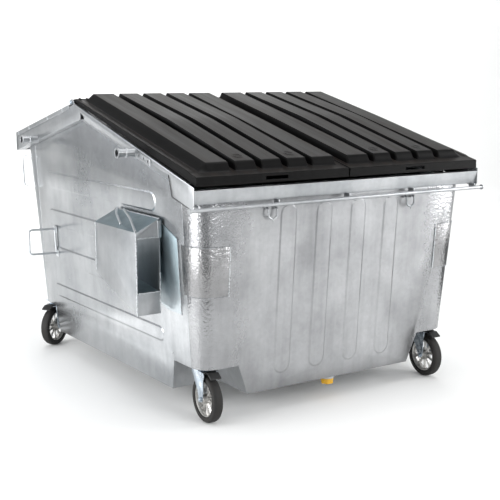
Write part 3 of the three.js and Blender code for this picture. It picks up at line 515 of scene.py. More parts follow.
def weld_tree():
    """A weld run: overlapping drops at even pitch along every edge, slightly uneven in size."""
    sockets = [
        ("Bead Radius", "NodeSocketFloat", 0.004),
        ("Pitch", "NodeSocketFloat", 0.005),
        ("Seed", "NodeSocketInt", 3),
        ("Finish", "NodeSocketMaterial", None),
    ]
    tree, start, end = new_tree("weld_runs", sockets)
    seed = start.outputs["Seed"]
    line = add_node(tree, "GeometryNodeMeshToCurve", {"Mesh": start.outputs["Geometry"]})
    inputs = {"Curve": line.outputs["Curve"], "Length": start.outputs["Pitch"]}
    steps = add_node(tree, "GeometryNodeResampleCurve", inputs, mode="LENGTH")
    inputs = {"Subdivisions": 1, "Radius": start.outputs["Bead Radius"]}
    drop = add_node(tree, "GeometryNodeMeshIcoSphere", inputs)
    size = add_node(tree, "FunctionNodeRandomValue", {2: 0.45, 3: 1.5, "Seed": seed}, data_type="FLOAT")
    drift_by = {0: (-DRIFT, -DRIFT, -DRIFT), 1: (DRIFT, DRIFT, DRIFT), "Seed": seed}
    drift = add_node(tree, "FunctionNodeRandomValue", drift_by, data_type="FLOAT_VECTOR")
    inputs = {"Geometry": steps.outputs["Curve"], "Offset": drift.outputs[0]}
    shaken = add_node(tree, "GeometryNodeSetPosition", inputs)
    inputs = {"Points": shaken.outputs["Geometry"], "Instance": drop.outputs[0], "Scale": size.outputs[1]}
    spread = add_node(tree, "GeometryNodeInstanceOnPoints", inputs)
    dress(tree, spread.outputs["Instances"], start, end, True)
    return tree


HEADS = heads_tree()
WELDS = weld_tree()


def grown(name, source, tree, inputs, body, smooth):
    """Runs a tree on a source mesh and keeps the result as a plain piece."""
    seed_ob = put(name + "_seed", source)
    mod = seed_ob.modifiers.new("grow", "NODES")
    mod.node_group = tree
    for item in tree.interface.items_tree:
        if item.in_out == "INPUT" and item.name in inputs:
            mod[item.identifier] = inputs[item.name]
    mesh = with_modifiers(seed_ob)
    bpy.data.objects.remove(seed_ob)
    mesh.name = name
    ob = put(name, mesh)
    if smooth:
        mesh.shade_smooth()
    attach(ob, body)
    return ob


def fasteners(name, spots, radius, height, sides, finish, body):
    """Heads at (point, aim) pairs."""
    mesh = bpy.data.meshes.new(name + "_points")
    mesh.from_pydata([tuple(p) for p, _ in spots], [], [])
    aim = mesh.attributes.new("aim", "FLOAT_VECTOR", "POINT")
    for i, (_, direction) in enumerate(spots):
        aim.data[i].vector = direction
    inputs = {"Head Radius": radius * MM, "Head Height": height * MM, "Sides": sides, "Finish": finish}
    return grown(name, mesh, HEADS, inputs, body, False)


def welds(name, runs, radius, finish, body, seed=3):
    """Weld runs along lists of points."""
    verts, edges = [], []
    for run in runs:
        base = len(verts)
        verts += [tuple(p) for p in run]
        edges += [(base + i, base + i + 1) for i in range(len(run) - 1)]
    mesh = bpy.data.meshes.new(name + "_lines")
    mesh.from_pydata(verts, edges, [])
    inputs = {"Bead Radius": radius * MM, "Pitch": radius * 1.15 * MM, "Seed": seed, "Finish": finish}
    return grown(name, mesh, WELDS, inputs, body, True)


# ---------------------------------------------------------------- tub, roof and pockets

SHEETS = {
    "front_wall": (ZINC_FRONT, 2.2, 3),
    "rear_wall": (ZINC, 1.4, 2),
    "side_wall_left": (ZINC_SIDE, 2.2, 3),
    "side_wall_right": (ZINC_SIDE, 2.2, 3),
    "floor_pan": (ZINC, 1.2, 2),
    "corner_patch_left": (ZINC_ROUGH, 1.2, 2),
    "corner_patch_right": (ZINC_ROUGH, 1.2, 2),
    "front_rim": (ZINC, 1.4, 3),
    "gable_left": (ZINC, 1.0, 2),
    "gable_right": (ZINC, 1.0, 2),
    "rear_roof": (ZINC, 1.4, 3),
    "ridge_beam": (ZINC, 0.8, 2),
    "hinge_lug_left": (ZINC, 1.2, 2),
    "hinge_lug_right": (ZINC, 1.2, 2),
    # the pocket liners take the painted shade, with painted light in their lower part
    "pocket_liner_left": (ZINC_PAINTED_SHADE, 0.9, 2),
    "pocket_liner_right": (ZINC_PAINTED_SHADE, 0.9, 2),
    "fork_pocket_left": (ZINC, 1.3, 2),
    "fork_pocket_right": (ZINC, 1.3, 2),
    "strap_left": (ZINC, 1.2, 2),
    "strap_right": (ZINC, 1.2, 2),
    "drain_socket": (ZINC, 1.2, 2),
}
SHEET_PIECES = {}
for node, (finish, radius, steps) in SHEETS.items():
    SHEET_PIECES[node] = eased_sheet(node, finish, "container", radius, steps)


# how far the painted shade and the painted light reach in a fork pocket: up from its eaves, out and forward
POCKET_EAVES = 946
POCKET_OUT = 1026
POCKET_MOUTH = -738


def pocket_painted_light_zone(centre, normal):
    """Which painted light a face of a fork pocket gets: 1, painted shade on its roof slope and gable; 2,
    painted light inside the tunnel.
    """
    x, y, z = abs(centre.x) / MM, centre.y / MM - SHIFT_Y, centre.z / MM
    outward = normal.x * math.copysign(1, centre.x)
    if normal.z > 0.5 and z > POCKET_EAVES + 14:
        return 1
    if normal.y < -0.9 and z > POCKET_EAVES and x < POCKET_OUT - 2:
        return 1
    return 2 if x < POCKET_OUT and outward < 0.5 and y > POCKET_MOUTH else 0


# painted shade on each pocket's roof slope and gable, painted light inside its tunnel
for side in ("left", "right"):
    pocket = SHEET_PIECES[f"fork_pocket_{side}"].data
    pocket.materials.append(ZINC_PAINTED_SHADE)
    pocket.materials.append(ZINC_TUNNEL_PAINTED_LIGHT)
    for face in pocket.polygons:
        face.material_index = pocket_painted_light_zone(face.center, face.normal)
eased_sheet("drain_plug", PLUG, "drain_plug", 1.5, 2)

# ---------------------------------------------------------------- lids

RIB_COUNT = 5
RIB_PITCH = 157
RIB_GROOVE = 24
RIB_H = 38
RIB_CROWN = 16
RIB_SIDE = 10
RIB_OUTER_SIDE = 46
CROWN_Y = -430
EDGE_STEP = 889
VALLEY = 38
SLOT_X = (390, 530)
KNUCKLES = ((75, 154), (422, 518), (637, 697), (834, 924))
KNUCKLE_R = 16.0
ROD_GAP = 0.15


def smoothstep(t):
    t = min(max(t, 0.0), 1.0)
    return t * t * (3 - 2 * t)


def lid_height(y):
    slope = (LID_RIDGE[1] - LID_FRONT[1]) / (LID_RIDGE[0] - LID_FRONT[0])
    return LID_FRONT[1] + slope * (y - LID_FRONT[0])


def rib_shape(x):
    """How much of a rib's full height stands at x, and how much of its crown."""
    for k in range(RIB_COUNT):
        a = VALLEY + k * RIB_PITCH + (RIB_GROOVE if k else 0)
        b = VALLEY + (k + 1) * RIB_PITCH
        last = k == RIB_COUNT - 1
        out = RIB_OUTER_SIDE if last else RIB_SIDE
        far = b + (RIB_OUTER_SIDE if last else 0)
        if a <= x <= far:
            rise = min((x - a) / RIB_SIDE, (far - x) / out, 1.0)
            return smoothstep(rise) * 0.35 + min(rise, 1.0) * 0.65, (0.3 if k == 0 or last else 1.0)
    if x > VALLEY + RIB_COUNT * RIB_PITCH + RIB_OUTER_SIDE:
        return 0.12 * smoothstep((x - EDGE_STEP) / 14), 0.0
    return 0.0, 0.0


def rib_run(y):
    """Rib height along the slope: ramps at both ends, fullest a little past the middle."""
    front = smoothstep((y - LID_FRONT[0] - 54) / 32)
    back = smoothstep((LID_RIDGE[0] - y - 2) / 34)
    if y < CROWN_Y:
        crown = (y - LID_FRONT[0]) / (CROWN_Y - LID_FRONT[0])
    else:
        crown = (LID_RIDGE[0] - y) / (LID_RIDGE[0] - CROWN_Y)
    return min(front, back), crown


def lid_samples():
    """Where the lid's columns and rows stand: close together on bends, further apart on flats."""
    xs = [LID_SPLIT, LID_SPLIT + 3, 14, 26, VALLEY - 2, *SLOT_X]
    for k in range(RIB_COUNT):
        a = VALLEY + k * RIB_PITCH + (RIB_GROOVE if k else 0)
        b = VALLEY + (k + 1) * RIB_PITCH
        xs += [a + d for d in (0, 1.5, 3, 5, 7, 8.5, 10, 12, 16)]
        xs += [a + (b - a) * f for f in (0.25, 0.4, 0.5, 0.6, 0.75)]
        if k == RIB_COUNT - 1:
            xs += [b - 6, b - 1.5, b, b + 1.5, b + 8, b + 18, b + 30, b + 40, b + 44, b + 46, b + 49]
        else:
            xs += [b - d for d in (16, 12, 10, 8.5, 7, 5, 3, 1.5, 0)]
            xs += [b + 8, b + 16]
    xs += [892, 897, 903, 912, LID_HALF - 5, LID_HALF - 2, LID_HALF]
    ys = [LID_FRONT[0] + d for d in (0, 2, 5, 18, 34, 50, 54, 58, 62, 67, 72, 77, 82, 86, 92, 110)]
    ys += [LID_FRONT[0] + 150 + i * 52 for i in range(22)]
    ys += [LID_RIDGE[0] - d for d in (50, 40, 36, 32, 26, 20, 14, 9, 5, 2, 0)]
    return sorted(set(xs)), sorted(set(ys))


def lid_shell():
    """Top skin of the right-hand lid with its lip and skirts, before it gets its wall."""
    xs, ys = lid_samples()
    cols = [(x, None) for x in xs]
    cols = [(xs[0], d) for d in (1.0, 0.5, 0.18)] + cols + [(xs[-1], d) for d in (0.18, 0.5, 1.0)]
    rows = [(ys[0], d) for d in (1.0, 0.711, 0.311, 0.1)] + [(y, None) for y in ys]
    rows += [(ys[-1], d) for d in (0.5, 1.0)]
    verts, faces = [], []
    for y, dy in rows:
        run, crown = rib_run(y)
        t = (y - LID_FRONT[0]) / (LID_RIDGE[0] - LID_FRONT[0])
        skirt = LIP_FRONT + (LIP_RIDGE - LIP_FRONT) * t
        for x, dx in cols:
            rise, crowned = rib_shape(x)
            z = lid_height(y) + run * (RIB_H * rise + RIB_CROWN * crowned * crown * rise)
            corner = 2.2 if (x in (xs[0], xs[-1]) or y == ys[0]) and dx is None and dy is None else 0.0
            drop = max(dx or 0.0, (dy or 0.0) * (1.0 if y < 0 else 0.3)) * skirt
            verts.append(at(x, y, z - drop - corner))
    n = len(cols)
    for j in range(len(rows) - 1):
        for i in range(n - 1):
            faces.append([j * n + i, j * n + i + 1, (j + 1) * n + i + 1, (j + 1) * n + i])
    return verts, faces


def cut_hand_slot(verts, faces):
    """Leaves the hand slot open in the front lip, under its folded edge."""
    keep = []
    for f in faces:
        c = sum((verts[i] for i in f), Vector()) / len(f)
        x, y, z = c.x / MM, c.y / MM - SHIFT_Y, c.z / MM
        if y < LID_FRONT[0] + 1 and SLOT_X[0] < x < SLOT_X[1] and LID_FRONT[1] - 31 < z < LID_FRONT[1] - 15:
            continue
        keep.append(f)
    return keep


def lid_mesh():
    verts, faces = lid_shell()
    faces = cut_hand_slot(verts, faces)
    mesh = bpy.data.meshes.new("lid_skin")
    mesh.from_pydata([tuple(v) for v in verts], [], faces)
    bm = bmesh.new()
    bm.from_mesh(mesh)
    bmesh.ops.remove_doubles(bm, verts=bm.verts, dist=1e-6)
    bmesh.ops.recalc_face_normals(bm, faces=bm.faces)
    up = sum(f.normal.z * f.calc_area() for f in bm.faces)
    if up < 0:
        bmesh.ops.reverse_faces(bm, faces=bm.faces)
    bm.to_mesh(mesh)
    bm.free()
    ob = put("lid_skin", mesh)
    wall = ob.modifiers.new("wall", "SOLIDIFY")
    wall.thickness = (LID_T - 0.6) * MM
    wall.offset = -1.0
    wall.use_even_offset = False
    made = with_modifiers(ob)
    bpy.data.objects.remove(ob)
    return [v.co.copy() for v in made.vertices], [list(p.vertices) for p in made.polygons]


def lid_knuckles():
    """The hinge barrels along the lid's back edge, each with its leaf and two small ribs behind it."""
    shapes = []
    along_x = Matrix.Rotation(math.pi / 2, 4, "Y")
    for x0, x1 in KNUCKLES:
        mid_x = (x0 + x1) / 2
        half = (x1 - x0) / 2
        r, b = KNUCKLE_R, ROD_R + ROD_GAP
        profile = [(b, -half), (r - 2, -half), (r - 0.6, -half + 0.6), (r, -half + 2)]
        profile += [(r, half - 2), (r - 0.6, half - 0.6), (r - 2, half), (b, half)]
        scaled = [(p * MM, h * MM) for p, h in profile]
        shapes.append(turned(scaled, 28, Matrix.Translation(at(mid_x, *HINGE)) @ along_x))
        lean = math.atan2(LID_RIDGE[1] - 6 - HINGE[1], LID_RIDGE[0] - HINGE[0] - 4)
        mid = at(mid_x, HINGE[0] - 14, HINGE[1] + 9)
        turn = Matrix.Rotation(lean, 4, "X")
        leaf = ((x1 - x0) * MM, 26 * MM, 9 * MM)
        shapes.append(rounded_block(leaf, 1.6 * MM, Matrix.Translation(mid) @ turn))
        for dx in (-half / 2, half / 2):
            foot = at(mid_x + dx, LID_RIDGE[0] - 22, lid_height(LID_RIDGE[0] - 22) + 5)
            tilt = Matrix.Rotation(math.radians(14), 4, "X")
            small_rib = (8 * MM, 30 * MM, 10 * MM)
            shapes.append(rounded_block(small_rib, 1.5 * MM, Matrix.Translation(foot) @ tilt))
    return shapes


def slot_frame():
    """Thickened border round the hand slot."""
    shapes = []
    y = LID_FRONT[0] + 2.6
    for z in (LID_FRONT[1] - 34.5, LID_FRONT[1] - 7.5):
        spot = Matrix.Translation(at(460, y, z))
        shapes.append(rounded_block((146 * MM, 5.0 * MM, 4 * MM), 1.0 * MM, spot))
    for x in (390.5, 529.5):
        spot = Matrix.Translation(at(x, y, LID_FRONT[1] - 21))
        shapes.append(rounded_block((5 * MM, 5.0 * MM, 30 * MM), 1.0 * MM, spot))
    return shapes


right_lid = joined([lid_mesh(), *lid_knuckles(), *slot_frame()])
piece("lid_right_moulding", *right_lid, LID, "lid_right", "lid", 32.0, ("lid_right",))
piece("lid_left_moulding", *mirrored(right_lid), LID, "lid_left", "lid", 32.0, ("lid_left",))

# round moulding marks near the front ends of the second and fourth ribs
for side, sign in (("left", -1), ("right", 1)):
    marks = []
    for k in (1, 3):
        x = VALLEY + k * RIB_PITCH + (RIB_GROOVE + RIB_PITCH) / 2
        y = LID_FRONT[0] + 150
        run, crown = rib_run(y)
        z = lid_height(y) + run * (RIB_H + RIB_CROWN * crown)
        for r in (27, 17):
            profile = [(r - 3, -1.5), (r - 2.2, 1.0), (r + 2.2, 1.0), (r + 3, -1.5)]
            spot = Matrix.Translation(at(sign * x, y, z)) @ Matrix.Rotation(math.radians(15.2), 4, "X")
            marks.append(turned([(a * MM, h * MM) for a, h in profile], 32, spot))
    piece(f"lid_{side}_moulding_marks", *joined(marks), LID, f"lid_{side}", "lid", 30.0)

# ---------------------------------------------------------------- bars, stubs and handles

# the wall faces at the heights of their foot and head
FOOT_Z = 267
HEAD_Z = 1127
SIDE_WALL = (834.5, 882)
FRONT_WALL = (-1048, -1112)
REAR_WALL = (987, 1051)
CORNER_R = 95


def on_wall(wall, z):
    return wall[0] + (wall[1] - wall[0]) * (z - FOOT_Z) / (HEAD_Z - FOOT_Z)


def side_x(z):
    return on_wall(SIDE_WALL, z)


def front_y(z):
    return on_wall(FRONT_WALL, z)


def rear_y(z):
    return on_wall(REAR_WALL, z)


def hinge_pin():
    path = [at(-948, *HINGE), at(-400, *HINGE), at(400, *HINGE), at(948, *HINGE)]
    return round_bar(path, ROD_R * MM, 24)


pin_parts = [hinge_pin()]
for x in (-944.5, 944.5):
    spin = Matrix.Translation(at(x, *HINGE)) @ Matrix.Rotation(math.pi / 2, 4, "Y")
    ring = [(7.6, -1.2), (12, -1.2), (12.6, -0.6), (12.6, 0.6), (12, 1.2), (7.6, 1.2)]
    pin_parts.append(turned([(r * MM, h * MM) for r, h in ring], 24, spin))
piece("hinge_rod_bar", *joined(pin_parts), PLATED, "container", "zinc_plated", 40.0, ("hinge_rod",))


def stub_shape(y, z):
    x0, x1 = RIM_HALF + 0.3, 1044
    outer = [(x0, 24), (x0 + 3, 22), (x0 + 5, 21), (x0 + 44, 21), (x0 + 46, 23), (x0 + 47, 26)]
    outer += [(x0 + 53, 26), (x0 + 54, 23), (x0 + 56, 21), (x1 - 9, 21), (x1 - 7, 24), (x1 - 6, 28)]
    outer += [(x1 - 1, 28), (x1, 27), (x1, 18.5), (x1 - 1, 17.5), (x0, 17.5)]
    spin = Matrix.Translation(at(0, y, z)) @ Matrix.Rotation(math.pi / 2, 4, "Y")
    return turned([(r * MM, x * MM) for x, r in outer], 36, spin)


STUBS = {"front": (-572, 1367), "rear": (737, 1368)}
for where, (y, z) in STUBS.items():
    right = stub_shape(y, z)
    for side, shape in (("right", right), ("left", mirrored(right))):
        name = f"stub_{where}_{side}"
        piece(f"{name}_tube", *shape, ZINC, "container", "galvanised", 35.0, (name,))

RAIL = (-1174, 1127)
rail = [round_bar([at(-971, *RAIL), at(-300, *RAIL), at(300, *RAIL), at(971, *RAIL)], 9.5 * MM, 20)]
for x in (-915, -450, 0, 450, 915):
    spot = Matrix.Translation(at(x, -1151, 1138))
    rail.append(rounded_block((6 * MM, 45 * MM, 25 * MM), 1.4 * MM, spot))
for x in (-968, 968):
    spin = Matrix.Translation(at(x, *RAIL)) @ Matrix.Rotation(math.pi / 2, 4, "Y")
    cap = [(4.5, -3), (13.5, -3), (14.5, -2), (14.5, 2), (13.5, 3), (4.5, 3)]
    rail.append(turned([(r * MM, h * MM) for r, h in cap], 24, spin))
piece("front_rail_bar", *joined(rail), ZINC, "container", "galvanised", 40.0, ("front_rail",))


def zinc_drip(point, radius, length):
    """A frozen drop of zinc under the lowest point of a bar."""
    profile = [(0.05, -length), (radius * 0.45, -length * 0.85), (radius * 0.7, -length * 0.5)]
    profile += [(radius * 0.5, 0), (0.05, radius * 0.2)]
    scaled = [(r * MM, h * MM) for r, h in profile]
    return turned(scaled, 12, Matrix.Translation(point), closed=False)


def lashing_eye(x):
    y_wall = front_y(1106) - 0.3
    y_out = front_y(1070) - 26
    pts = [(x - 26, y_wall - 2, 1107), (x - 26, y_out, 1101), (x - 26, y_out, 1058), (x, y_out, 1044)]
    pts += [(x + 26, y_out, 1058), (x + 26, y_out, 1101), (x + 26, y_wall - 2, 1107)]
    shapes = [round_bar(eased_path([at(*p) for p in pts], 11 * MM), 5.5 * MM, 16)]
    for px in (x - 26, x + 26):
        tilt = Matrix.Rotation(math.radians(4.25), 4, "X")
        spot = Matrix.Translation(at(px, front_y(1106) - 4, 1106)) @ tilt
        shapes.append(rounded_block((20 * MM, 6.4 * MM, 26 * MM), 1.6 * MM, spot))
    shapes.append(zinc_drip(at(x + 3, y_out, 1041), 4.0, 9.0))
    return joined(shapes)


for side, x in (("left", -462), ("right", 462)):
    node = f"lashing_eye_{side}"
    piece(f"{node}_bar", *lashing_eye(x), ZINC, "container", "galvanised", 40.0, (node,))


def side_handle():
    """A closed loop of round bar on two welded pads, its inner side along the wall."""
    x = side_x(730) + 4
    pts = [(x, 670, 806), (1044, 670, 812), (1044, 670, 658), (x, 670, 652)]
    shapes = [round_bar(eased_path([at(*p) for p in pts], 24 * MM), 7 * MM, 18)]
    shapes.append(round_bar([at(side_x(z) + 10, 670, z) for z in (800, 658)], 6 * MM, 18))
    for z in (803, 652):
        tilt = Matrix.Rotation(math.radians(3.16), 4, "Y")
        spot = Matrix.Translation(at(side_x(z) + 4.2, 670, z)) @ tilt
        shapes.append(rounded_block((6.4 * MM, 44 * MM, 42 * MM), 1.6 * MM, spot))
    return joined(shapes)


def rear_handle():
    """A round bar handle across a rounded rear corner."""
    s = math.sqrt(0.5)

    def corner(z, d):
        return at(side_x(z) - CORNER_R + (CORNER_R + d) * s, rear_y(z) - CORNER_R + (CORNER_R + d) * s, z)

    pts = [corner(1238, 5), corner(1238, 72), corner(1040, 80), corner(1040, 5)]
    shapes = [round_bar(eased_path(pts, 30 * MM), 7 * MM, 18)]
    for z in (1238, 1040):
        turn = Matrix.Rotation(math.radians(45), 4, "Z")
        spot = Matrix.Translation(corner(z, 4.4)) @ turn
        shapes.append(rounded_block((7 * MM, 36 * MM, 36 * MM), 1.6 * MM, spot))
    return joined(shapes)


# the handles take the pale weld zinc as a painted highlight
for kind, shape in (("side_handle", side_handle()), ("rear_handle", rear_handle())):
    for side, handle in (("right", shape), ("left", mirrored(shape))):
        node = f"{kind}_{side}"
        piece(f"{node}_bar", *handle, ZINC_WELD_AND_HIGHLIGHT, "container", "galvanised", 40.0, (node,))

# ---------------------------------------------------------------- casters


def wheel_matrix(px, py, heading):
    place = Matrix.Translation(at(px, py, 0)) @ Matrix.Rotation(math.radians(heading), 4, "Z")
    hub = Matrix.Translation(Vector((0, -TRAIL * MM, WHEEL_R * MM)))
    return place @ hub @ Matrix.Rotation(math.pi / 2, 4, "Y")


def tyre_shape(m):
    w = WHEEL_W / 2
    r = WHEEL_R
    profile = [(95.2, -w + 2), (97, -w), (103, -w), (105, -w + 1.4), (108, -w + 1.4), (110, -w)]
    profile += [(116, -w + 0.8), (120, -w + 4), (123, -w + 8.5), (124.6, -w + 14), (r, -w + 20)]
    full = profile + [(a, -h) for a, h in reversed(profile)]
    return turned([(a * MM, h * MM) for a, h in full], 72, m)


def rim_shape(m):
    barrel = [(87, -20), (89, -22), (93, -22), (94.6, -20.5), (94.6, 20.5), (93, 22), (89, 22), (87, 20)]
    barrel += [(83, 12), (81.5, 5), (81.5, -5), (83, -12)]
    hub = [(8.1, -34), (17, -34), (20, -32), (22, -26), (26, -14), (29, -8), (29, 8), (26, 14)]
    hub += [(22, 26), (20, 32), (17, 34), (8.1, 34)]
    shapes = [turned([(a * MM, h * MM) for a, h in p], 72, m) for p in (barrel, hub)]
    # ten tapered spokes, ridged along their middle
    for k in range(10):
        a = 2 * math.pi * k / 10
        ring = []
        for r, wide, deep in ((26, 9, 13), (48, 6.5, 9), (70, 7.5, 9), (84, 12, 12)):
            edge = deep * 0.35
            section = [(-wide, -edge), (0, -deep), (wide, -edge), (wide, edge), (0, deep), (-wide, edge)]
            turn = Matrix.Rotation(a, 4, "Z")
            ring.append([m @ (turn @ Vector((r * MM, t * MM, h * MM))) for t, h in section])
        verts = [v for loop in ring for v in loop]
        faces = []
        for j in range(3):
            for i in range(6):
                n = (i + 1) % 6
                faces.append([j * 6 + i, j * 6 + n, (j + 1) * 6 + n, (j + 1) * 6 + i])
        faces += [[5, 4, 3, 2, 1, 0], [18, 19, 20, 21, 22, 23]]
        shapes.append((verts, faces))
    return joined(shapes)


def axle_shape(m):
    shank = [(0.05, -52), (6.5, -52), (8, -50.5), (8, 50.5), (6.5, 52), (0.05, 52)]
    shapes = [turned([(a * MM, h * MM) for a, h in shank], 24, m)]
    for sign in (-1, 1):
        lo, hi = 41.3, 49
        nut = [(8, lo), (12.4, lo), (13, lo + 0.8), (13, hi - 1), (11.6, hi), (8, hi)]
        shapes.append(turned([(a * MM, sign * h * MM) for a, h in nut], 6, m))
    return joined(shapes)


for key, (px, py, heading) in CASTERS.items():
    m = wheel_matrix(px, py, heading)
    name = f"caster_{key}"
    piece(f"{name}_tyre_ring", *tyre_shape(m), RUBBER, f"wheel_{key}", "tyre", 50.0, (f"{name}_tyre",))
    piece(f"{name}_spoked_rim", *rim_shape(m), CAST, f"wheel_{key}", "wheel_rim", 30.0, (f"{name}_rim",))
    piece(f"{name}_axle_bolt", *axle_shape(m), PLATED, f"fork_{key}", "zinc_plated", 30.0, (f"{name}_axle",))
    eased_sheet(f"{name}_fork", PLATED, f"fork_{key}", 1.6, 3)
    eased_sheet(f"{name}_plate", PLATED, "container", 1.0, 2)
    eased_sheet(f"{name}_pedal", PEDAL, f"pedal_{key}", 1.6, 3)
    spots = [(at(px + sx * 50, py + sy * 38, 283.6), Vector((0, 0, -1))) for sx in (-1, 1) for sy in (-1, 1)]
    fasteners(f"{name}_plate_bolts", spots, 7, 6, 6, PLATED, "container")

# ---------------------------------------------------------------- welds and fasteners


def gable_z(y):
    return 1236 + 0.2698 * (y + 1168)


# painted shadow: thin dark strips along the gusset lap seams
seams = []
for sign in (-1, 1):
    path = [(-926, gable_z(-926) - 22), (-960, 1173), (-1150, 1127)]
    seams.append(round_bar([at(sign * (RIM_HALF + 0.2), y, z) for y, z in path], 1.6 * MM, 8))
piece("gusset_lap_seam_painted_shadow", *joined(seams), SEAM_SHADOW, "container", "galvanised", 40.0)

# painted shade: dark discs behind the strap holes
hole_backs = []
for sign in (-1, 1):
    for y in (-722, -676, -630):
        hole_backs.append((at(sign * (RIM_HALF + 0.2), y, 1363 + 0.27 * (y + 604)), Vector((sign, 0, 0))))
fasteners("strap_hole_shade", hole_backs, 4.4, 0.9, 20, CARD_AND_HOLE_SHADE, "container")


def roof_z(y):
    return 1393 + 0.2317 * (1091 - y)


rivets = []
for sign in (-1, 1):
    for y in (330, 560, 860, 1040):
        rivets.append((at(sign * 943.6, y, roof_z(y) - 14), Vector((sign, 0, 0))))
# the rivets take the pale weld zinc as a painted highlight
fasteners("roof_rivets", rivets, 7.0, 3.2, 16, ZINC_WELD_AND_HIGHLIGHT, "container")

bright_runs, plain_runs = [], []
for sign in (-1, 1):
    bright_runs.append([at(sign * 1029, -742, 548), at(sign * 1029, -742, 973)])
    bright_runs.append([at(sign * 1030, -270, 716), at(sign * 1030, -270, 970)])
    bright_runs.append([at(sign * 899, -745, 660), at(sign * 1026, -745, 660)])
    bright_runs.append([at(sign * 896, -745, 560), at(sign * 896, -745, 760)])
    bright_runs.append([at(sign * 899, -745, 944), at(sign * 1026, -745, 944)])
    bright_runs.append([at(sign * 692, front_y(z) - 2.6, z) for z in (671, 925)])
    plain_runs.append([at(sign * 895, -744, 1040), at(sign * 895, -240, 1040)])
    plain_runs.append([at(sign * (side_x(560) + 2), -889, 560), at(sign * (side_x(950) + 2), -889, 950)])
    plain_runs.append([at(sign * (side_x(1010) + 3), -744, 1009), at(sign * (side_x(1010) + 3), -300, 1009)])
    for z in (671, 925):
        arc = []
        for k in range(13):
            a = math.pi / 2 * k / 12
            cx, cy = side_x(z) - CORNER_R, front_y(z) + CORNER_R
            out = CORNER_R + 2
            arc.append(at(sign * (cx + out * math.cos(a)), cy - out * math.sin(a), z))
        arc.append(at(sign * 694, front_y(z) - 2, z))
        plain_runs.append(arc)
    for y, z in STUBS.values():
        ring = []
        for k in range(25):
            a = 2 * math.pi * k / 24
            ring.append(at(sign * (RIM_HALF + 1), y + 22.5 * math.cos(a), z + 22.5 * math.sin(a)))
        plain_runs.append(ring)
# the bright runs are pale zinc over weld metal with a painted highlight
welds("weld_runs_bright", bright_runs, 3.4, ZINC_WELD_AND_HIGHLIGHT, "container")
welds("weld_runs_plain", plain_runs, 2.4, ZINC, "container", 8)


def roof_bar(points):
    """One of the two round bars welded on a fork pocket's sloping roof, made bright with a painted highlight.
    """
    x0, x1, z0, z1 = 893, 1030, 1040, 975
    path = [at(x0 + f * (x1 - x0), y, z0 + f * (z1 - z0) + 4) for f, y in points]
    return round_bar(eased_path(path, 22 * MM), 6.2 * MM, 14)


strip = rounded_block((20 * MM, 7 * MM, 88 * MM), 1.6 * MM, Matrix.Translation(at(899, -746.5, 985)))
short_bar = roof_bar([(0.02, -262), (0.3, -330), (0.8, -520)])
long_bar = roof_bar([(0.02, -345), (0.4, -520), (0.985, -734)])
trim = joined([short_bar, long_bar, strip])
# the pocket trim takes the pale weld zinc as a painted highlight
piece("pocket_trim_right", *trim, ZINC_WELD_AND_HIGHLIGHT, "container", "galvanised", 40.0)
piece("pocket_trim_left", *mirrored(trim), ZINC_WELD_AND_HIGHLIGHT, "container", "galvanised", 40.0)

# ---------------------------------------------------------------- floor, light and camera

YAW = math.radians(-33.67)
PITCH = math.radians(-9.77)


def backdrop():
    """The pale sweep: a floor that curves up behind the container."""
    verts, faces = [], []
    profile = [(-14.0, 0.0), (7.0, 0.0)]
    for k in range(1, 13):
        a = math.pi / 2 * k / 12
        profile.append((7.0 + 3.0 * math.sin(a), 3.0 * (1 - math.cos(a))))
    profile.append((10.0, 9.0))
    turn = Matrix.Rotation(YAW, 4, "Z")
    for y, z in profile:
        for x in (-16.0, 16.0):
            verts.append(turn @ Vector((x, y, z)))
    for j in range(len(profile) - 1):
        faces.append([2 * j, 2 * j + 1, 2 * j + 3, 2 * j + 2])
    mesh = bpy.data.meshes.new("studio_sweep")
    mesh.from_pydata([tuple(v) for v in verts], [], faces)
    mesh.materials.append(studio_floor("matt_paper_sweep"))
    mesh.shade_smooth()
    put("studio_sweep", mesh)


def dark_card(name, corners):
    """A black card out of shot, seen only as a dark band in the metal."""
    mesh = bpy.data.meshes.new(name)
    mesh.from_pydata(corners, [], [[0, 1, 2, 3]])
    mesh.materials.append(CARD_AND_HOLE_SHADE)
    ob = put(name, mesh)
    ob.visible_camera = False
    ob.visible_diffuse = False
    ob.visible_shadow = False


def soft_box(name, location, target, size, power, colour="#ffffff"):
    data = bpy.data.lights.new(name, "AREA")
    data.shape = "RECTANGLE"
    data.size, data.size_y = size
    data.energy = power
    data.color = tint(colour)[:3]
    ob = put(name, data)
    ob.location = location
    aim = Vector(target) - Vector(location)
    ob.rotation_euler = aim.to_track_quat("-Z", "Y").to_euler()
    ob.visible_camera = False


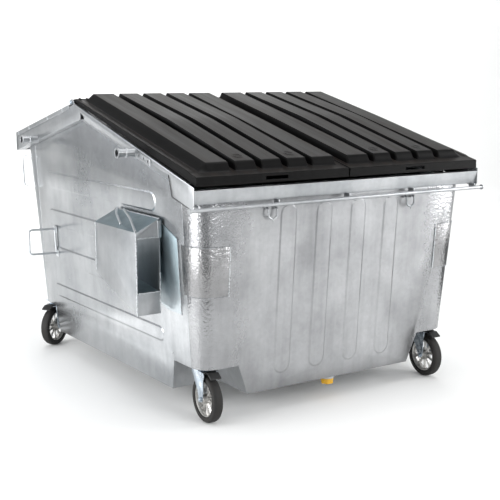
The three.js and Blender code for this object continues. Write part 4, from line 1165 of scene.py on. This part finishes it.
backdrop()
CARD_FRONT = [(-4.7, -4.2, 0.004), (-2.6, -5.9, 0.004), (-0.9, -2.9, 0.004), (-2.1, -2.1, 0.004)]
CARD_RIGHT = [(2.2, -1.8, 0.0), (2.2, -0.5, 0.0), (2.2, -0.5, 0.6), (2.2, -1.8, 0.6)]
dark_card("card_before_camera", CARD_FRONT)
dark_card("card_at_right", CARD_RIGHT)
soft_box("corner_light", (-6.6, 0.1, 1.9), (0, 0, 0.7), (5.0, 3.4), 370)
soft_box("front_light", (1.2, -8.0, 3.6), (0, 0, 0.7), (3.0, 3.0), 165)
soft_box("right_light", (5.6, -4.6, 2.6), (0.6, -1.0, 0.7), (3.0, 3.4), 240)
soft_box("left_light", (-3.9, 2.6, 2.6), (-2.1, 1.4, 0), (1.6, 1.6), 20, "#f4f8ff")
soft_box("floor_bounce", (-1.55, 0.1, 0.02), (-1.55, 0.1, 1.0), (0.8, 2.2), 4.2)
soft_box("far_left_light", (-5.2, 6.4, 3.2), (-4.4, 7.5, 0), (2.0, 2.0), 75)
soft_box("top_light", (0.5, -0.5, 7.0), (0, 0, 0.5), (6.0, 6.0), 200)
soft_box("back_light", (3.5, 7.5, 2.6), (0, 0, 0.8), (4.0, 3.0), 110)
soft_box("sweep_light", (1.0, 5.5, 6.5), (5.0, 9.0, 2.0), (4.0, 4.0), 240)

world = bpy.data.worlds.new("studio_white")
world.use_nodes = True
world.node_tree.nodes["Background"].inputs["Color"].default_value = tint("#f7f9fb")
world.node_tree.nodes["Background"].inputs["Strength"].default_value = 0.54
bpy.context.scene.world = world
bpy.context.scene.view_settings.view_transform = "Standard"

# the width of the camera's sensor and its focal length, in millimetres
SENSOR = 36.0
LENS = 73.0152
CAMERA_AT = Vector((-3.3486, -5.2608 + SHIFT_Y * MM, 1.7575))
camera = bpy.data.cameras.new("camera")
camera.sensor_width = SENSOR
camera.lens = LENS
camera_ob = put("camera", camera)
camera_ob.location = CAMERA_AT
look = Vector((-math.sin(YAW) * math.cos(PITCH), math.cos(YAW) * math.cos(PITCH), math.sin(PITCH)))
camera_ob.rotation_euler = look.to_track_quat("-Z", "Y").to_euler()
bpy.context.scene.camera = camera_ob
